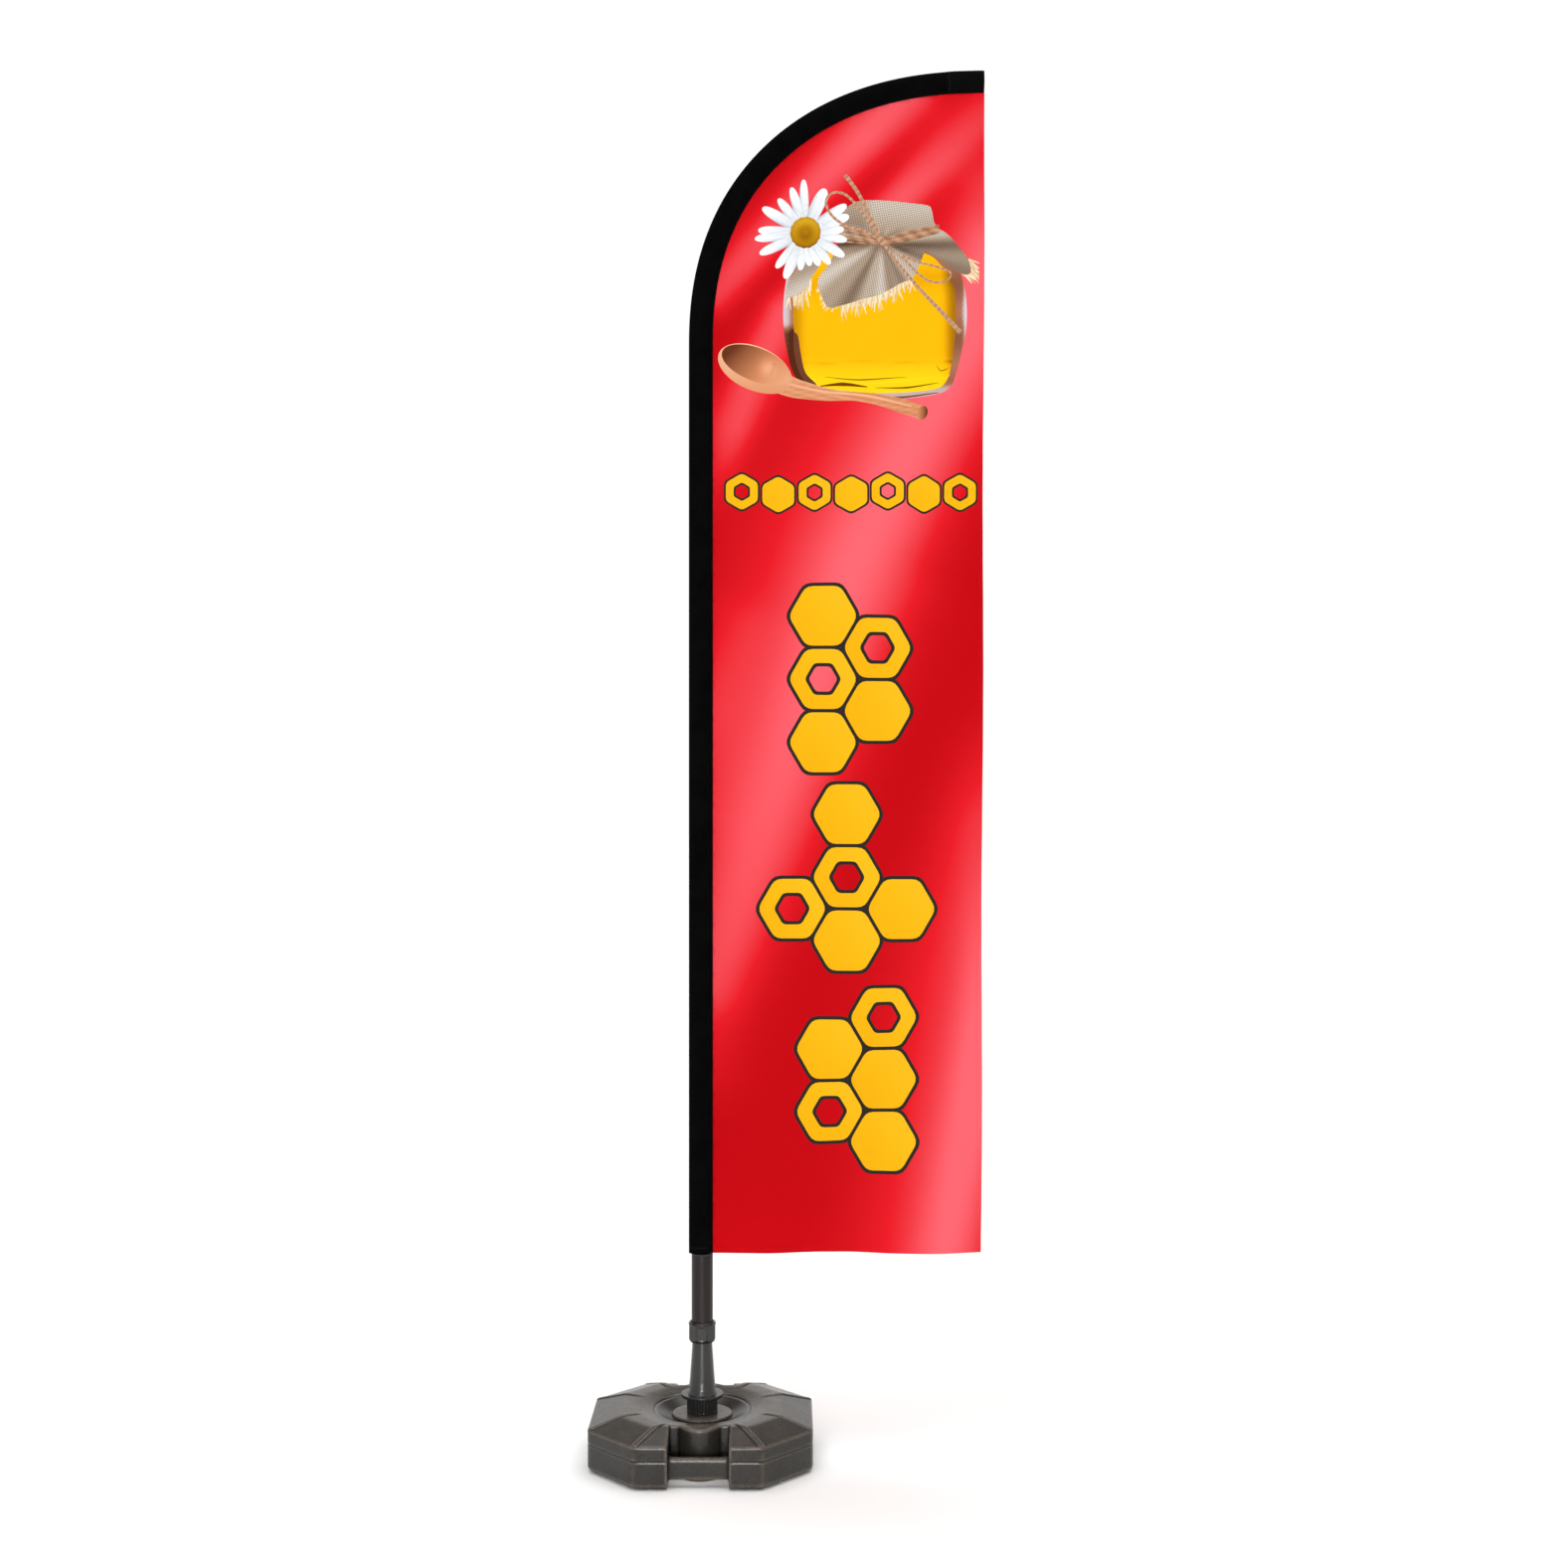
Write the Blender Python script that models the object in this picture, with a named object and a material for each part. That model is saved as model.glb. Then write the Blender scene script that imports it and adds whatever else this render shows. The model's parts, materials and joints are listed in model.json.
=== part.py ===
"""A feather flag that swivels in the wind, on an eight-sided plastic base filled with water.

Metres, +Z up. The origin is on the floor, on the axis that the flag turns about. The flag flies
towards +X and its printed face looks towards -Y. Each object is one physical piece.
"""

import math

import bmesh
import bpy
from mathutils import Vector
from mathutils.geometry import delaunay_2d_cdt

# Clearances
GAP = 0.0003  # between pieces that rest on each other
RUN = 0.0015  # round the turning tube, inside the clamp nut
PAST = 0.05  # how far a cutter runs past what it cuts
SEGMENTS = 32  # sides of the large turned pieces
FINE = 24  # sides of the small turned pieces
ROD_SIDES = 16  # sides of the thin rods and small holes
TUBE_SIDES = 20  # sides of the mast sections

# Water tank
TANK_HALF_X = 0.280
TANK_HALF_Y = 0.255
TANK_FRONT_HALF = 0.158  # half of the front edge
TANK_SIDE_HALF = 0.125  # half of the side edge
TANK_RIM_Z = 0.106  # where the upright walls end
TANK_FOOT_CHAMFER = 0.012
TANK_WALL = 0.0035
WATER_LEVEL = 0.078
DECK_RISE = 0.025  # from the rim up to the deck inside the sloping facets
DECK_SLOPE = 0.080  # how far the facets run in from the walls
DECK_Z = TANK_RIM_Z + DECK_RISE

# The tank's mouth, in a raised boss in the middle of a shallow dish
SPIGOT_R = 0.035  # the holder's thread, which the mouth takes
BOSS_RIM = 0.041  # from the thread out to the boss's edge
BOSS_RISE = 0.009
BOSS_EDGE = 0.002
DISH_SIDES = 40
DISH_DEPTH = 0.028
DISH_FLAT = 0.006  # round the boss
DISH_LIP_DROP = 0.009  # below the deck
DISH_LIP_R = 0.121
DISH_EDGE_R = 0.168  # where the dish runs out into the deck
SOCKET_WALL = 0.004
SOCKET_DEPTH = 0.026
BOSS_R = SPIGOT_R + BOSS_RIM
DISH_Z = DECK_Z - DISH_DEPTH
DISH_R = BOSS_R + DISH_FLAT
DISH_LIP_Z = DECK_Z - DISH_LIP_DROP
BOSS_Z = DISH_Z + BOSS_RISE

# Carry handles, one in front and one behind
HANDLE_HALF = 0.074  # half width of the recess
HANDLE_DEPTH = 0.090  # from the front wall to the back of the recess
BAR_SETBACK = 0.020
BAR_THICK = 0.022
BAR_LOW_Z = 0.020
BAR_TOP_Z = 0.072
BULGE_R = 0.060  # the round wall behind the bar
BULGE_GAP = 0.023  # room for the fingers

# Spindle
SPINDLE_R = 0.0125
SPINDLE_WALL = 0.0025
SPINDLE_STUB = 0.010  # above the upper bearing
PLUG_FLANGE = 0.006
PLUG_STEM = 0.018
PLUG_EDGE = 0.001
CAP_FLANGE = 0.003
BORE_R = SPINDLE_R + GAP

# Pole holder, which screws into the mouth
SPIGOT_LENGTH = 0.022
HOLDER_FLOOR = 0.010  # thickness under the spindle
HOLDER_EDGE = 0.0015
GASKET_THICK = 0.0027
GASKET_WIDTH = 0.0035
COLLAR_STEP = 0.004  # out from the thread
COLLAR_HEIGHT = 0.0377
COLLAR_GROOVES = 3
COLLAR_GROOVE_DEPTH = 0.0015
FLANGE_STEP = 0.014  # out from the collar
FLANGE_THICK = 0.008
CONE_HEIGHT = 0.131
CONE_FLARE_HEIGHT = 0.031
NECK_WALL = 0.012  # round the spindle, at the top of the cone and under the nut
CONE_FLARE_STEP = 0.007  # out from the neck
CONE_FOOT_STEP = 0.0117
COLLAR_Z = BOSS_Z + GASKET_THICK + 2 * GAP
COLLAR_R = SPIGOT_R + COLLAR_STEP
COLLAR_TOP_Z = COLLAR_Z + COLLAR_HEIGHT
FLANGE_R = COLLAR_R + FLANGE_STEP
FLANGE_TOP_Z = COLLAR_TOP_Z + FLANGE_THICK
NECK_R = SPINDLE_R + NECK_WALL
SPIGOT_BOTTOM_Z = BOSS_Z - SPIGOT_LENGTH
BORE_FLOOR_Z = SPIGOT_BOTTOM_Z + HOLDER_FLOOR
SPINDLE_BOTTOM_Z = BORE_FLOOR_Z + PLUG_FLANGE + 2 * GAP

# Clamp nut and collet
NUT_THREAD = 0.0285
NUT_WEB = 0.0032
NUT_CUP = 0.019  # height of the cup round the turning tube
NUT_WALL = 0.0065
NUT_CHAMFER = 0.004
NUT_LIFT = 0.0045  # free height over the nut's web
COLLET_HEIGHT = 0.0145
COLLET_PROUD = 0.0035  # above the holder
COLLET_WALL = 0.006
COLLET_SLOT = 0.002
NUT_BOTTOM_Z = FLANGE_TOP_Z + CONE_HEIGHT
COLLET_TOP_Z = NUT_BOTTOM_Z + NUT_THREAD
COLLET_BOTTOM_Z = COLLET_TOP_Z - COLLET_HEIGHT
COLLET_R = SPINDLE_R + COLLET_WALL
NECK_TOP_Z = COLLET_TOP_Z - COLLET_PROUD
WEB_Z = COLLET_TOP_Z + GAP

# The two ball bearings (25 x 47 x 12) and what holds them
BEARING_DEPTH = 0.011  # from the spindle to the outer face
BEARING_WIDTH = 0.012
BEARING_SEAT = 0.0075  # above the turning tube's lower end
BEARING_SPAN = 0.104
RACE_THICK = 0.0030
BALL_R = 0.0035
BALL_COUNT = 9
BALL_CLEARANCE = 0.0003
CAGE_THICK = 0.0016
CAGE_WIDTH = 0.0080
RING_THICK = 0.0015  # retaining rings
RING_WIDTH = 0.0030
RING_GROOVE = 0.0008
RING_SLOT = 0.003
BEARING_R = SPINDLE_R + BEARING_DEPTH
BALL_PITCH_R = (SPINDLE_R + BEARING_R) / 2

# Turning tube
TUBE_WALL = 0.0032
TUBE_LENGTH = 0.1835
TUBE_BORE_R = BEARING_R + GAP
TUBE_R = TUBE_BORE_R + TUBE_WALL
TUBE_BOTTOM_Z = WEB_Z + NUT_WEB + NUT_LIFT
TUBE_TOP_Z = TUBE_BOTTOM_Z + TUBE_LENGTH
LOWER_BEARING_Z = TUBE_BOTTOM_Z + BEARING_SEAT
UPPER_BEARING_Z = LOWER_BEARING_Z + BEARING_SPAN
SPINDLE_TOP_Z = UPPER_BEARING_Z + BEARING_WIDTH + SPINDLE_STUB
NUT_R = TUBE_R + RUN + NUT_WALL
NUT_TOP_Z = WEB_Z + NUT_WEB + NUT_CUP

# Pole sections, each plugged into the one below
LOWER_MAST_R = 0.0140
LOWER_MAST_WALL = 0.0015
LOWER_MAST_LENGTH = 1.045
MIDDLE_MAST_WALL = 0.0014
MIDDLE_MAST_LENGTH = 1.080
LOWER_ROD_WALL = 0.0022
LOWER_ROD_LENGTH = 0.700
TIP_ROD_END_R = 0.0045
PLUG_IN = 0.120  # how far each section goes into the one below
FERRULE_LENGTH = 0.040
FERRULE_WALL = 0.0007
TIP_CAP_LENGTH = 0.026
TIP_CAP_WALL = 0.0018
MIDDLE_MAST_R = LOWER_MAST_R - LOWER_MAST_WALL - GAP
LOWER_ROD_R = MIDDLE_MAST_R - MIDDLE_MAST_WALL - GAP
TIP_ROD_R = LOWER_ROD_R - LOWER_ROD_WALL - GAP

# Reducer, the mast's socket at the top of the turning tube
REDUCER_SKIRT = 0.0030
REDUCER_CLEAR = 0.0047  # over the spindle's cap
REDUCER_WEB = 0.004
REDUCER_FLANGE = 0.003
NOSE_WALL = 0.0027
NOSE_HEIGHT = 0.045
TAB_SCREW_DROP = 0.024  # below the tube's top
TAB_SCREW_R = 0.003
TAB_SCREW_HEAD_R = 0.0055
TAB_SCREW_HEAD = 0.003
REDUCER_WEB_Z = SPINDLE_TOP_Z + CAP_FLANGE + REDUCER_CLEAR
MAST_BOTTOM = REDUCER_WEB_Z + REDUCER_WEB + GAP
NOSE_R = LOWER_MAST_R + GAP + NOSE_WALL
NOSE_FOOT_Z = TUBE_TOP_Z + GAP + REDUCER_FLANGE
TAB_SCREW_Z = TUBE_TOP_Z - TAB_SCREW_DROP
LOWER_MAST_END = MAST_BOTTOM + LOWER_MAST_LENGTH
MIDDLE_MAST_END = LOWER_MAST_END - PLUG_IN + MIDDLE_MAST_LENGTH
LOWER_ROD_END = MIDDLE_MAST_END - PLUG_IN + LOWER_ROD_LENGTH

# Flag and its pole sleeve
FLAG_CLEAR = 0.0007  # over the reducer's flange
STRAIGHT_LENGTH = 2.302  # of the sleeve, up to where it starts to bend
CURVE_HEIGHT = 0.699
CURVE_POWER = 2.25  # 2 is an ellipse; more is squarer
CURVE_STEPS = 22
FLAG_RIGHT_X = 0.716
FLAG_LEAN = 0.0085  # the free edge runs in by this much towards the bottom
SLEEVE_LEFT_X = -0.034
SLEEVE_WIDTH = 0.061
SLEEVE_TIP_WIDTH = 0.056
SLEEVE_TIP_OFFSET = 0.028  # from the outer edge to the pole, at the tip
SLEEVE_SLACK = 0.0010  # between the sleeve and the widest part of each pole section
SLEEVE_WALL = 0.0010
PATCH_THICK = 0.0015
CLOTH_THICK = 0.0012
CLOTH_CELL = 0.075
WAVE_HEIGHT = 0.014
WAVE_LENGTH = 0.42
WAVE_LEAN = 67.0  # degrees from level along each fold
WAVE_EASE = 0.30  # the folds grow over this distance from the sleeve
TAB_WIDTH = 0.022
TAB_THICK = 0.0018
TAB_BELOW = 0.052  # below the flag's foot
TAB_ABOVE = 0.059
TAB_BEND = 0.010  # it comes in to the sleeve over this height and a little more
TAB_SEWN = 0.022
SEAM_POINTS = 200
FLAG_BOTTOM_Z = NOSE_FOOT_Z + FLAG_CLEAR
CURVE_START_Z = FLAG_BOTTOM_Z + STRAIGHT_LENGTH
FLAG_TOP_Z = CURVE_START_Z + CURVE_HEIGHT

# name: (colour, roughness, metallic)
FINISHES = {
    "tank_plastic": ((0.115, 0.110, 0.098), 0.45, 0.0),
    "water": ((0.35, 0.55, 0.62), 0.10, 0.0),
    "holder_plastic": ((0.030, 0.032, 0.033), 0.35, 0.0),
    "rubber": ((0.020, 0.020, 0.020), 0.80, 0.0),
    "steel": ((0.56, 0.57, 0.58), 0.30, 1.0),
    "black_aluminium": ((0.022, 0.021, 0.021), 0.45, 0.6),
    "aluminium": ((0.62, 0.63, 0.64), 0.35, 1.0),
    "fibreglass": ((0.055, 0.055, 0.050), 0.40, 0.0),
    "nylon": ((0.050, 0.050, 0.052), 0.55, 0.0),
    "sleeve_fabric": ((0.004, 0.004, 0.004), 0.85, 0.0),
    "flag_fabric": ((0.70, 0.010, 0.018), 0.55, 0.0),
    "webbing": ((0.012, 0.012, 0.012), 0.90, 0.0),
}


def finish(name):
    """The Principled material of that name, made once."""
    found = bpy.data.materials.get(name)
    if found:
        return found
    colour, roughness, metallic = FINISHES[name]
    material = bpy.data.materials.new(name)
    material.use_nodes = True
    shader = material.node_tree.nodes["Principled BSDF"]
    shader.inputs["Base Color"].default_value = (*colour, 1.0)
    shader.inputs["Roughness"].default_value = roughness
    shader.inputs["Metallic"].default_value = metallic
    return material


def make_object(name, bm, material, smooth_angle=35.0):
    """A scene object from a bmesh, with its faces pointing out."""
    bmesh.ops.recalc_face_normals(bm, faces=bm.faces)
    mesh = bpy.data.meshes.new(name)
    bm.to_mesh(mesh)
    bm.free()
    mesh.shade_smooth()
    mesh.set_sharp_from_angle(angle=math.radians(smooth_angle))
    if material:
        mesh.materials.append(finish(material))
    piece = bpy.data.objects.new(name, mesh)
    bpy.context.scene.collection.objects.link(piece)
    return piece


def loft(name, loops, material, closed=False):
    """Skin over loops with the same number of points. A closed loft ends where it starts, and an
    open one gets a flat cap at each end."""
    bm = bmesh.new()
    rows = [[bm.verts.new(point) for point in loop] for loop in loops]
    pairs = list(zip(rows, rows[1:]))
    if closed:
        pairs.append((rows[-1], rows[0]))
    for low, high in pairs:
        for i in range(len(low)):
            k = (i + 1) % len(low)
            bm.faces.new((low[i], low[k], high[k], high[i]))
    if not closed:
        bm.faces.new(rows[0])
        bm.faces.new(rows[-1])
    return make_object(name, bm, material)


def turned(name, profile, material, segments=SEGMENTS, closed=True):
    """A profile of (radius, height) points spun round the Z axis. An open profile gets flat caps."""
    bm = bmesh.new()
    verts = [bm.verts.new((radius, 0.0, height)) for radius, height in profile]
    ends = zip(verts, verts[1:] + verts[:1]) if closed else zip(verts, verts[1:])
    edges = [bm.edges.new(pair) for pair in ends]
    bmesh.ops.spin(
        bm, geom=verts + edges, cent=(0, 0, 0), axis=(0, 0, 1),
        angle=2 * math.pi, steps=segments, use_merge=True,
    )
    bmesh.ops.remove_doubles(bm, verts=bm.verts, dist=1e-6)
    bmesh.ops.holes_fill(bm, edges=[e for e in bm.edges if e.is_boundary], sides=0)
    return make_object(name, bm, material)


def block(low, high):
    """A plain box between two corners, for cutting with."""
    bm = bmesh.new()
    bmesh.ops.create_cube(bm, size=1.0)
    for vert in bm.verts:
        vert.co = Vector([a + (c + 0.5) * (b - a) for a, b, c in zip(low, high, vert.co)])
    return make_object("block", bm, None)


def combine(piece, tool, operation):
    """Cuts, joins or trims piece with tool, and removes tool."""
    modifier = piece.modifiers.new("combine", "BOOLEAN")
    modifier.operation = operation
    modifier.solver = "EXACT"
    modifier.object = tool
    bpy.context.view_layer.update()
    evaluated = piece.evaluated_get(bpy.context.evaluated_depsgraph_get())
    mesh = bpy.data.meshes.new_from_object(evaluated)
    piece.modifiers.remove(modifier)
    piece.data = mesh
    bpy.data.objects.remove(tool)
    return piece


def cut_radial_slot(ring, reach, width, low, high):
    """Opens a ring at -X, so that it can be sprung over its shaft."""
    return combine(ring, block((-reach, -width / 2, low), (0.0, width / 2, high)), "DIFFERENCE")


# ---------------------------------------------------------------- water tank


def octagon(half_x, half_y, front_half, side_half):
    corners = [(front_half, half_y), (half_x, side_half)]
    quarter = corners + [(x, -y) for x, y in reversed(corners)]
    return quarter + [(-x, -y) for x, y in quarter]


def inset_outline(outline, distance):
    """The same convex outline with each side moved in by distance. Its points run clockwise."""
    moved = []
    for i, point in enumerate(outline):
        here = Vector(point)
        before = (here - Vector(outline[i - 1])).normalized()
        after = (Vector(outline[(i + 1) % len(outline)]) - here).normalized()
        normals = [Vector((side.y, -side.x)) for side in (before, after)]
        bisector = (normals[0] + normals[1]).normalized()
        moved.append(here + bisector * (distance / bisector.dot(normals[0])))
    return moved


def dish_cutter(inset, with_boss):
    """Everything above the shallow dish in the deck, and round the boss in its middle."""
    axis = BOSS_EDGE / 4
    floor_z = DISH_Z - inset
    floor = [(DISH_R + inset, floor_z), (DISH_LIP_R + inset, DISH_LIP_Z - inset)]
    middle = [(axis, floor_z)]
    if with_boss:
        middle = [(axis, BOSS_Z), (BOSS_R - BOSS_EDGE, BOSS_Z), (BOSS_R, BOSS_Z - BOSS_EDGE)]
        middle.append((BOSS_R, floor_z))
    rise = DECK_Z - inset + BOSS_EDGE / 2
    edge = [(DISH_EDGE_R + inset, rise), (DISH_EDGE_R + inset, rise + PAST)]
    profile = middle + floor + edge + [(axis, rise + PAST)]
    return turned("dish", profile, None, DISH_SIDES, closed=False)


def handle_cutter(inset, side):
    """The space round one carry bar: side is -1 in front and 1 behind."""
    wall = TANK_HALF_Y
    back = wall - HANDLE_DEPTH - inset
    half = HANDLE_HALF + inset
    rows = sorted((side * back, side * (wall + PAST)))
    space = block((-half, rows[0], -PAST), (half, rows[1], DECK_Z + PAST))
    bar_front = wall - BAR_SETBACK - inset
    bar_back = wall - BAR_SETBACK - BAR_THICK + inset
    bar = sorted((side * bar_front, side * bar_back))
    bar_low = (-half - PAST, bar[0], BAR_LOW_Z + inset)
    combine(space, block(bar_low, (half + PAST, bar[1], BAR_TOP_Z - inset)), "DIFFERENCE")
    centre = side * (wall - BAR_SETBACK - BAR_THICK - BULGE_GAP - BULGE_R)
    radius = BULGE_R - inset
    wall_line = [(radius, -2 * PAST), (radius, DECK_Z + 2 * PAST)]
    bulge = turned("bulge", wall_line, None, closed=False)
    bulge.location.y = centre
    return combine(space, bulge, "DIFFERENCE")


def tank_form(name, inset, material):
    """The tank's outer form moved in by inset: 0 is its skin, and the wall gives its cavity."""
    walls = octagon(TANK_HALF_X, TANK_HALF_Y, TANK_FRONT_HALF, TANK_SIDE_HALF)
    levels = [
        (inset, TANK_FOOT_CHAMFER + inset),
        (TANK_FOOT_CHAMFER + inset, inset),
        (TANK_RIM_Z - inset, inset),
        (DECK_Z - inset, DECK_SLOPE + inset),
    ]
    loops = [[(*p, z) for p in inset_outline(walls, run)] for z, run in levels]
    form = loft(name, loops, material)
    combine(form, dish_cutter(inset, with_boss=inset == 0.0), "DIFFERENCE")
    for side in (-1, 1):
        combine(form, handle_cutter(inset, side), "DIFFERENCE")
    return form


def make_tank():
    tank = tank_form("tank", 0.0, "tank_plastic")
    cavity = tank_form("cavity", TANK_WALL, None)
    socket_r = SPIGOT_R + GAP + SOCKET_WALL
    socket_z = BOSS_Z - SOCKET_DEPTH
    socket = [(socket_r, socket_z), (socket_r, DECK_Z)]
    combine(cavity, turned("socket", socket, None, closed=False), "DIFFERENCE")
    combine(tank, cavity, "DIFFERENCE")
    mouth = [(SPIGOT_R + GAP, socket_z - BOSS_EDGE), (SPIGOT_R + GAP, DECK_Z)]
    return combine(tank, turned("mouth", mouth, None, closed=False), "DIFFERENCE")


def make_water():
    water = tank_form("water_ballast", TANK_WALL + GAP, "water")
    reach = TANK_HALF_X + TANK_HALF_Y
    air = block((-reach, -reach, WATER_LEVEL), (reach, reach, DECK_Z + PAST))
    return combine(water, air, "DIFFERENCE")


# ---------------------------------------------------------------- pole holder and clamp


def make_gasket():
    inner = SPIGOT_R + GAP
    outer = inner + GASKET_WIDTH
    low = BOSS_Z + GAP
    high = low + GASKET_THICK
    profile = [(inner, low), (outer, low), (outer, high), (inner, high)]
    return turned("neck_gasket", profile, "rubber")


def collar_profile():
    """The grooved grip under the flange."""
    pitch = (COLLAR_TOP_Z - COLLAR_Z) / (2 * COLLAR_GROOVES + 1)
    points = []
    for i in range(2 * COLLAR_GROOVES + 1):
        radius = COLLAR_R if i % 2 == 0 else COLLAR_R - COLLAR_GROOVE_DEPTH
        points += [(radius, COLLAR_Z + i * pitch), (radius, COLLAR_Z + (i + 1) * pitch)]
    return points


def make_pole_holder():
    foot_r = NECK_R + CONE_FOOT_STEP
    flare_r = NECK_R + CONE_FLARE_STEP
    outside = [
        (SPIGOT_R - HOLDER_EDGE, SPIGOT_BOTTOM_Z),
        (SPIGOT_R, SPIGOT_BOTTOM_Z + HOLDER_EDGE),
        (SPIGOT_R, COLLAR_Z),
        *collar_profile(),
        (FLANGE_R, COLLAR_TOP_Z),
        (FLANGE_R, FLANGE_TOP_Z - HOLDER_EDGE),
        (FLANGE_R - HOLDER_EDGE, FLANGE_TOP_Z),
        (foot_r, FLANGE_TOP_Z),
        ((foot_r + flare_r - HOLDER_EDGE) / 2, FLANGE_TOP_Z + CONE_FLARE_HEIGHT / 2),
        (flare_r, FLANGE_TOP_Z + CONE_FLARE_HEIGHT),
        (NECK_R, NUT_BOTTOM_Z - GAP),
        (NECK_R, NECK_TOP_Z),
    ]
    bore = [
        (COLLET_R + GAP, NECK_TOP_Z),
        (BORE_R + 3 * GAP, COLLET_BOTTOM_Z - GAP),
        (BORE_R, COLLET_BOTTOM_Z - GAP),
        (BORE_R, BORE_FLOOR_Z),
    ]
    return turned("pole_holder", outside + bore, "holder_plastic", closed=False)


def make_collet():
    seat_z = NECK_TOP_Z - GAP
    profile = [
        (BORE_R, COLLET_BOTTOM_Z),
        (BORE_R + GAP, COLLET_BOTTOM_Z),
        (COLLET_R - GAP, seat_z),
        (COLLET_R - GAP, COLLET_TOP_Z),
        (BORE_R, COLLET_TOP_Z),
    ]
    collet = turned("collet_ring", profile, "nylon", FINE)
    return cut_radial_slot(collet, 2 * COLLET_R, COLLET_SLOT, 0.0, 1.0)


def make_nut():
    thread_r = NECK_R + GAP
    cup_r = TUBE_R + RUN
    web_top = WEB_Z + NUT_WEB
    profile = [
        (thread_r, NUT_BOTTOM_Z),
        (NUT_R - NUT_CHAMFER, NUT_BOTTOM_Z),
        (NUT_R, NUT_BOTTOM_Z + 2 * NUT_CHAMFER),
        (NUT_R, NUT_TOP_Z - NUT_CHAMFER),
        (NUT_R - NUT_CHAMFER, NUT_TOP_Z),
        (cup_r, NUT_TOP_Z),
        (cup_r, web_top),
        (SPINDLE_R + RUN, web_top),
        (SPINDLE_R + RUN, WEB_Z),
        (thread_r, WEB_Z),
    ]
    return turned("clamp_nut", profile, "holder_plastic")


# ---------------------------------------------------------------- spindle and bearings


def ring_groove(low):
    """The spindle's profile points for one retaining ring's groove."""
    deep = SPINDLE_R - RING_GROOVE
    high = low + RING_THICK + 2 * GAP
    return [(SPINDLE_R, low), (deep, low), (deep, high), (SPINDLE_R, high)]


def ring_seats():
    """Where the two retaining rings' grooves start, under and over the bearings."""
    lower = LOWER_BEARING_Z - GAP - RING_THICK - GAP
    return lower, UPPER_BEARING_Z + BEARING_WIDTH


def make_spindle():
    lower, upper = ring_seats()
    inner = SPINDLE_R - SPINDLE_WALL
    profile = [(inner, SPINDLE_BOTTOM_Z), (SPINDLE_R, SPINDLE_BOTTOM_Z)]
    profile += ring_groove(lower) + ring_groove(upper)
    profile += [(SPINDLE_R, SPINDLE_TOP_Z), (inner, SPINDLE_TOP_Z)]
    turned("spindle", profile, "steel", FINE)


def make_spindle_plugs():
    stem = SPINDLE_R - SPINDLE_WALL - GAP
    foot = [
        (SPINDLE_R - PLUG_EDGE, BORE_FLOOR_Z + GAP),
        (SPINDLE_R, BORE_FLOOR_Z + GAP + PLUG_EDGE),
        (SPINDLE_R, SPINDLE_BOTTOM_Z - GAP),
        (stem, SPINDLE_BOTTOM_Z - GAP),
        (stem, SPINDLE_BOTTOM_Z + PLUG_STEM),
    ]
    turned("spindle_foot_plug", foot, "nylon", FINE, closed=False)
    seat = SPINDLE_TOP_Z + GAP
    cap = [
        (stem, SPINDLE_TOP_Z - PLUG_STEM),
        (stem, seat),
        (SPINDLE_R, seat),
        (SPINDLE_R, seat + CAP_FLANGE - PLUG_EDGE),
        (SPINDLE_R - PLUG_EDGE, seat + CAP_FLANGE),
    ]
    turned("spindle_cap", cap, "nylon", FINE, closed=False)


def make_retaining_rings():
    inner = SPINDLE_R - RING_GROOVE + GAP
    outer = inner + RING_WIDTH
    for name, seat in zip(("lower_retaining_ring", "upper_retaining_ring"), ring_seats()):
        low = seat + GAP
        high = low + RING_THICK
        ring = turned(name, [(inner, low), (outer, low), (outer, high), (inner, high)], "steel", FINE)
        cut_radial_slot(ring, 2 * outer, RING_SLOT, 0.0, 1.0)


def race_groove(face_r, centre_z, sign):
    """Points across a race's ball groove, from low to high: sign is -1 on the inner race."""
    groove_r = BALL_R + BALL_CLEARANCE
    half = math.acos(min(1.0, abs(face_r - BALL_PITCH_R) / groove_r))
    turns = [half * step / 2 for step in (-2, -1, 0, 1, 2)]
    return [(BALL_PITCH_R + sign * groove_r * math.cos(t), centre_z + groove_r * math.sin(t)) for t in turns]


def make_bearing(prefix, low):
    high = low + BEARING_WIDTH
    middle = (low + high) / 2
    inner_r = SPINDLE_R + GAP
    face = inner_r + RACE_THICK
    inner = [(inner_r, high), (inner_r, low), (face, low)]
    inner += race_groove(face, middle, -1) + [(face, high)]
    turned(f"{prefix}_inner_race", inner, "steel", FINE)
    face = BEARING_R - RACE_THICK
    outer = [(BEARING_R, high), (BEARING_R, low), (face, low)]
    outer += race_groove(face, middle, 1) + [(face, high)]
    turned(f"{prefix}_outer_race", outer, "steel", FINE)
    thin = CAGE_THICK / 2
    half = CAGE_WIDTH / 2
    band = [
        (BALL_PITCH_R - thin, middle - half),
        (BALL_PITCH_R + thin, middle - half),
        (BALL_PITCH_R + thin, middle + half),
        (BALL_PITCH_R - thin, middle + half),
    ]
    cage = turned(f"{prefix}_ball_cage", band, "steel", FINE)
    for i in range(BALL_COUNT):
        angle = 2 * math.pi * i / BALL_COUNT
        bm = bmesh.new()
        bmesh.ops.create_uvsphere(bm, u_segments=6, v_segments=4, radius=BALL_R)
        ball = make_object("ball", bm, None)
        ball.location = (BALL_PITCH_R * math.cos(angle), BALL_PITCH_R * math.sin(angle), middle)
        combine(cage, ball, "UNION")


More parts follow.
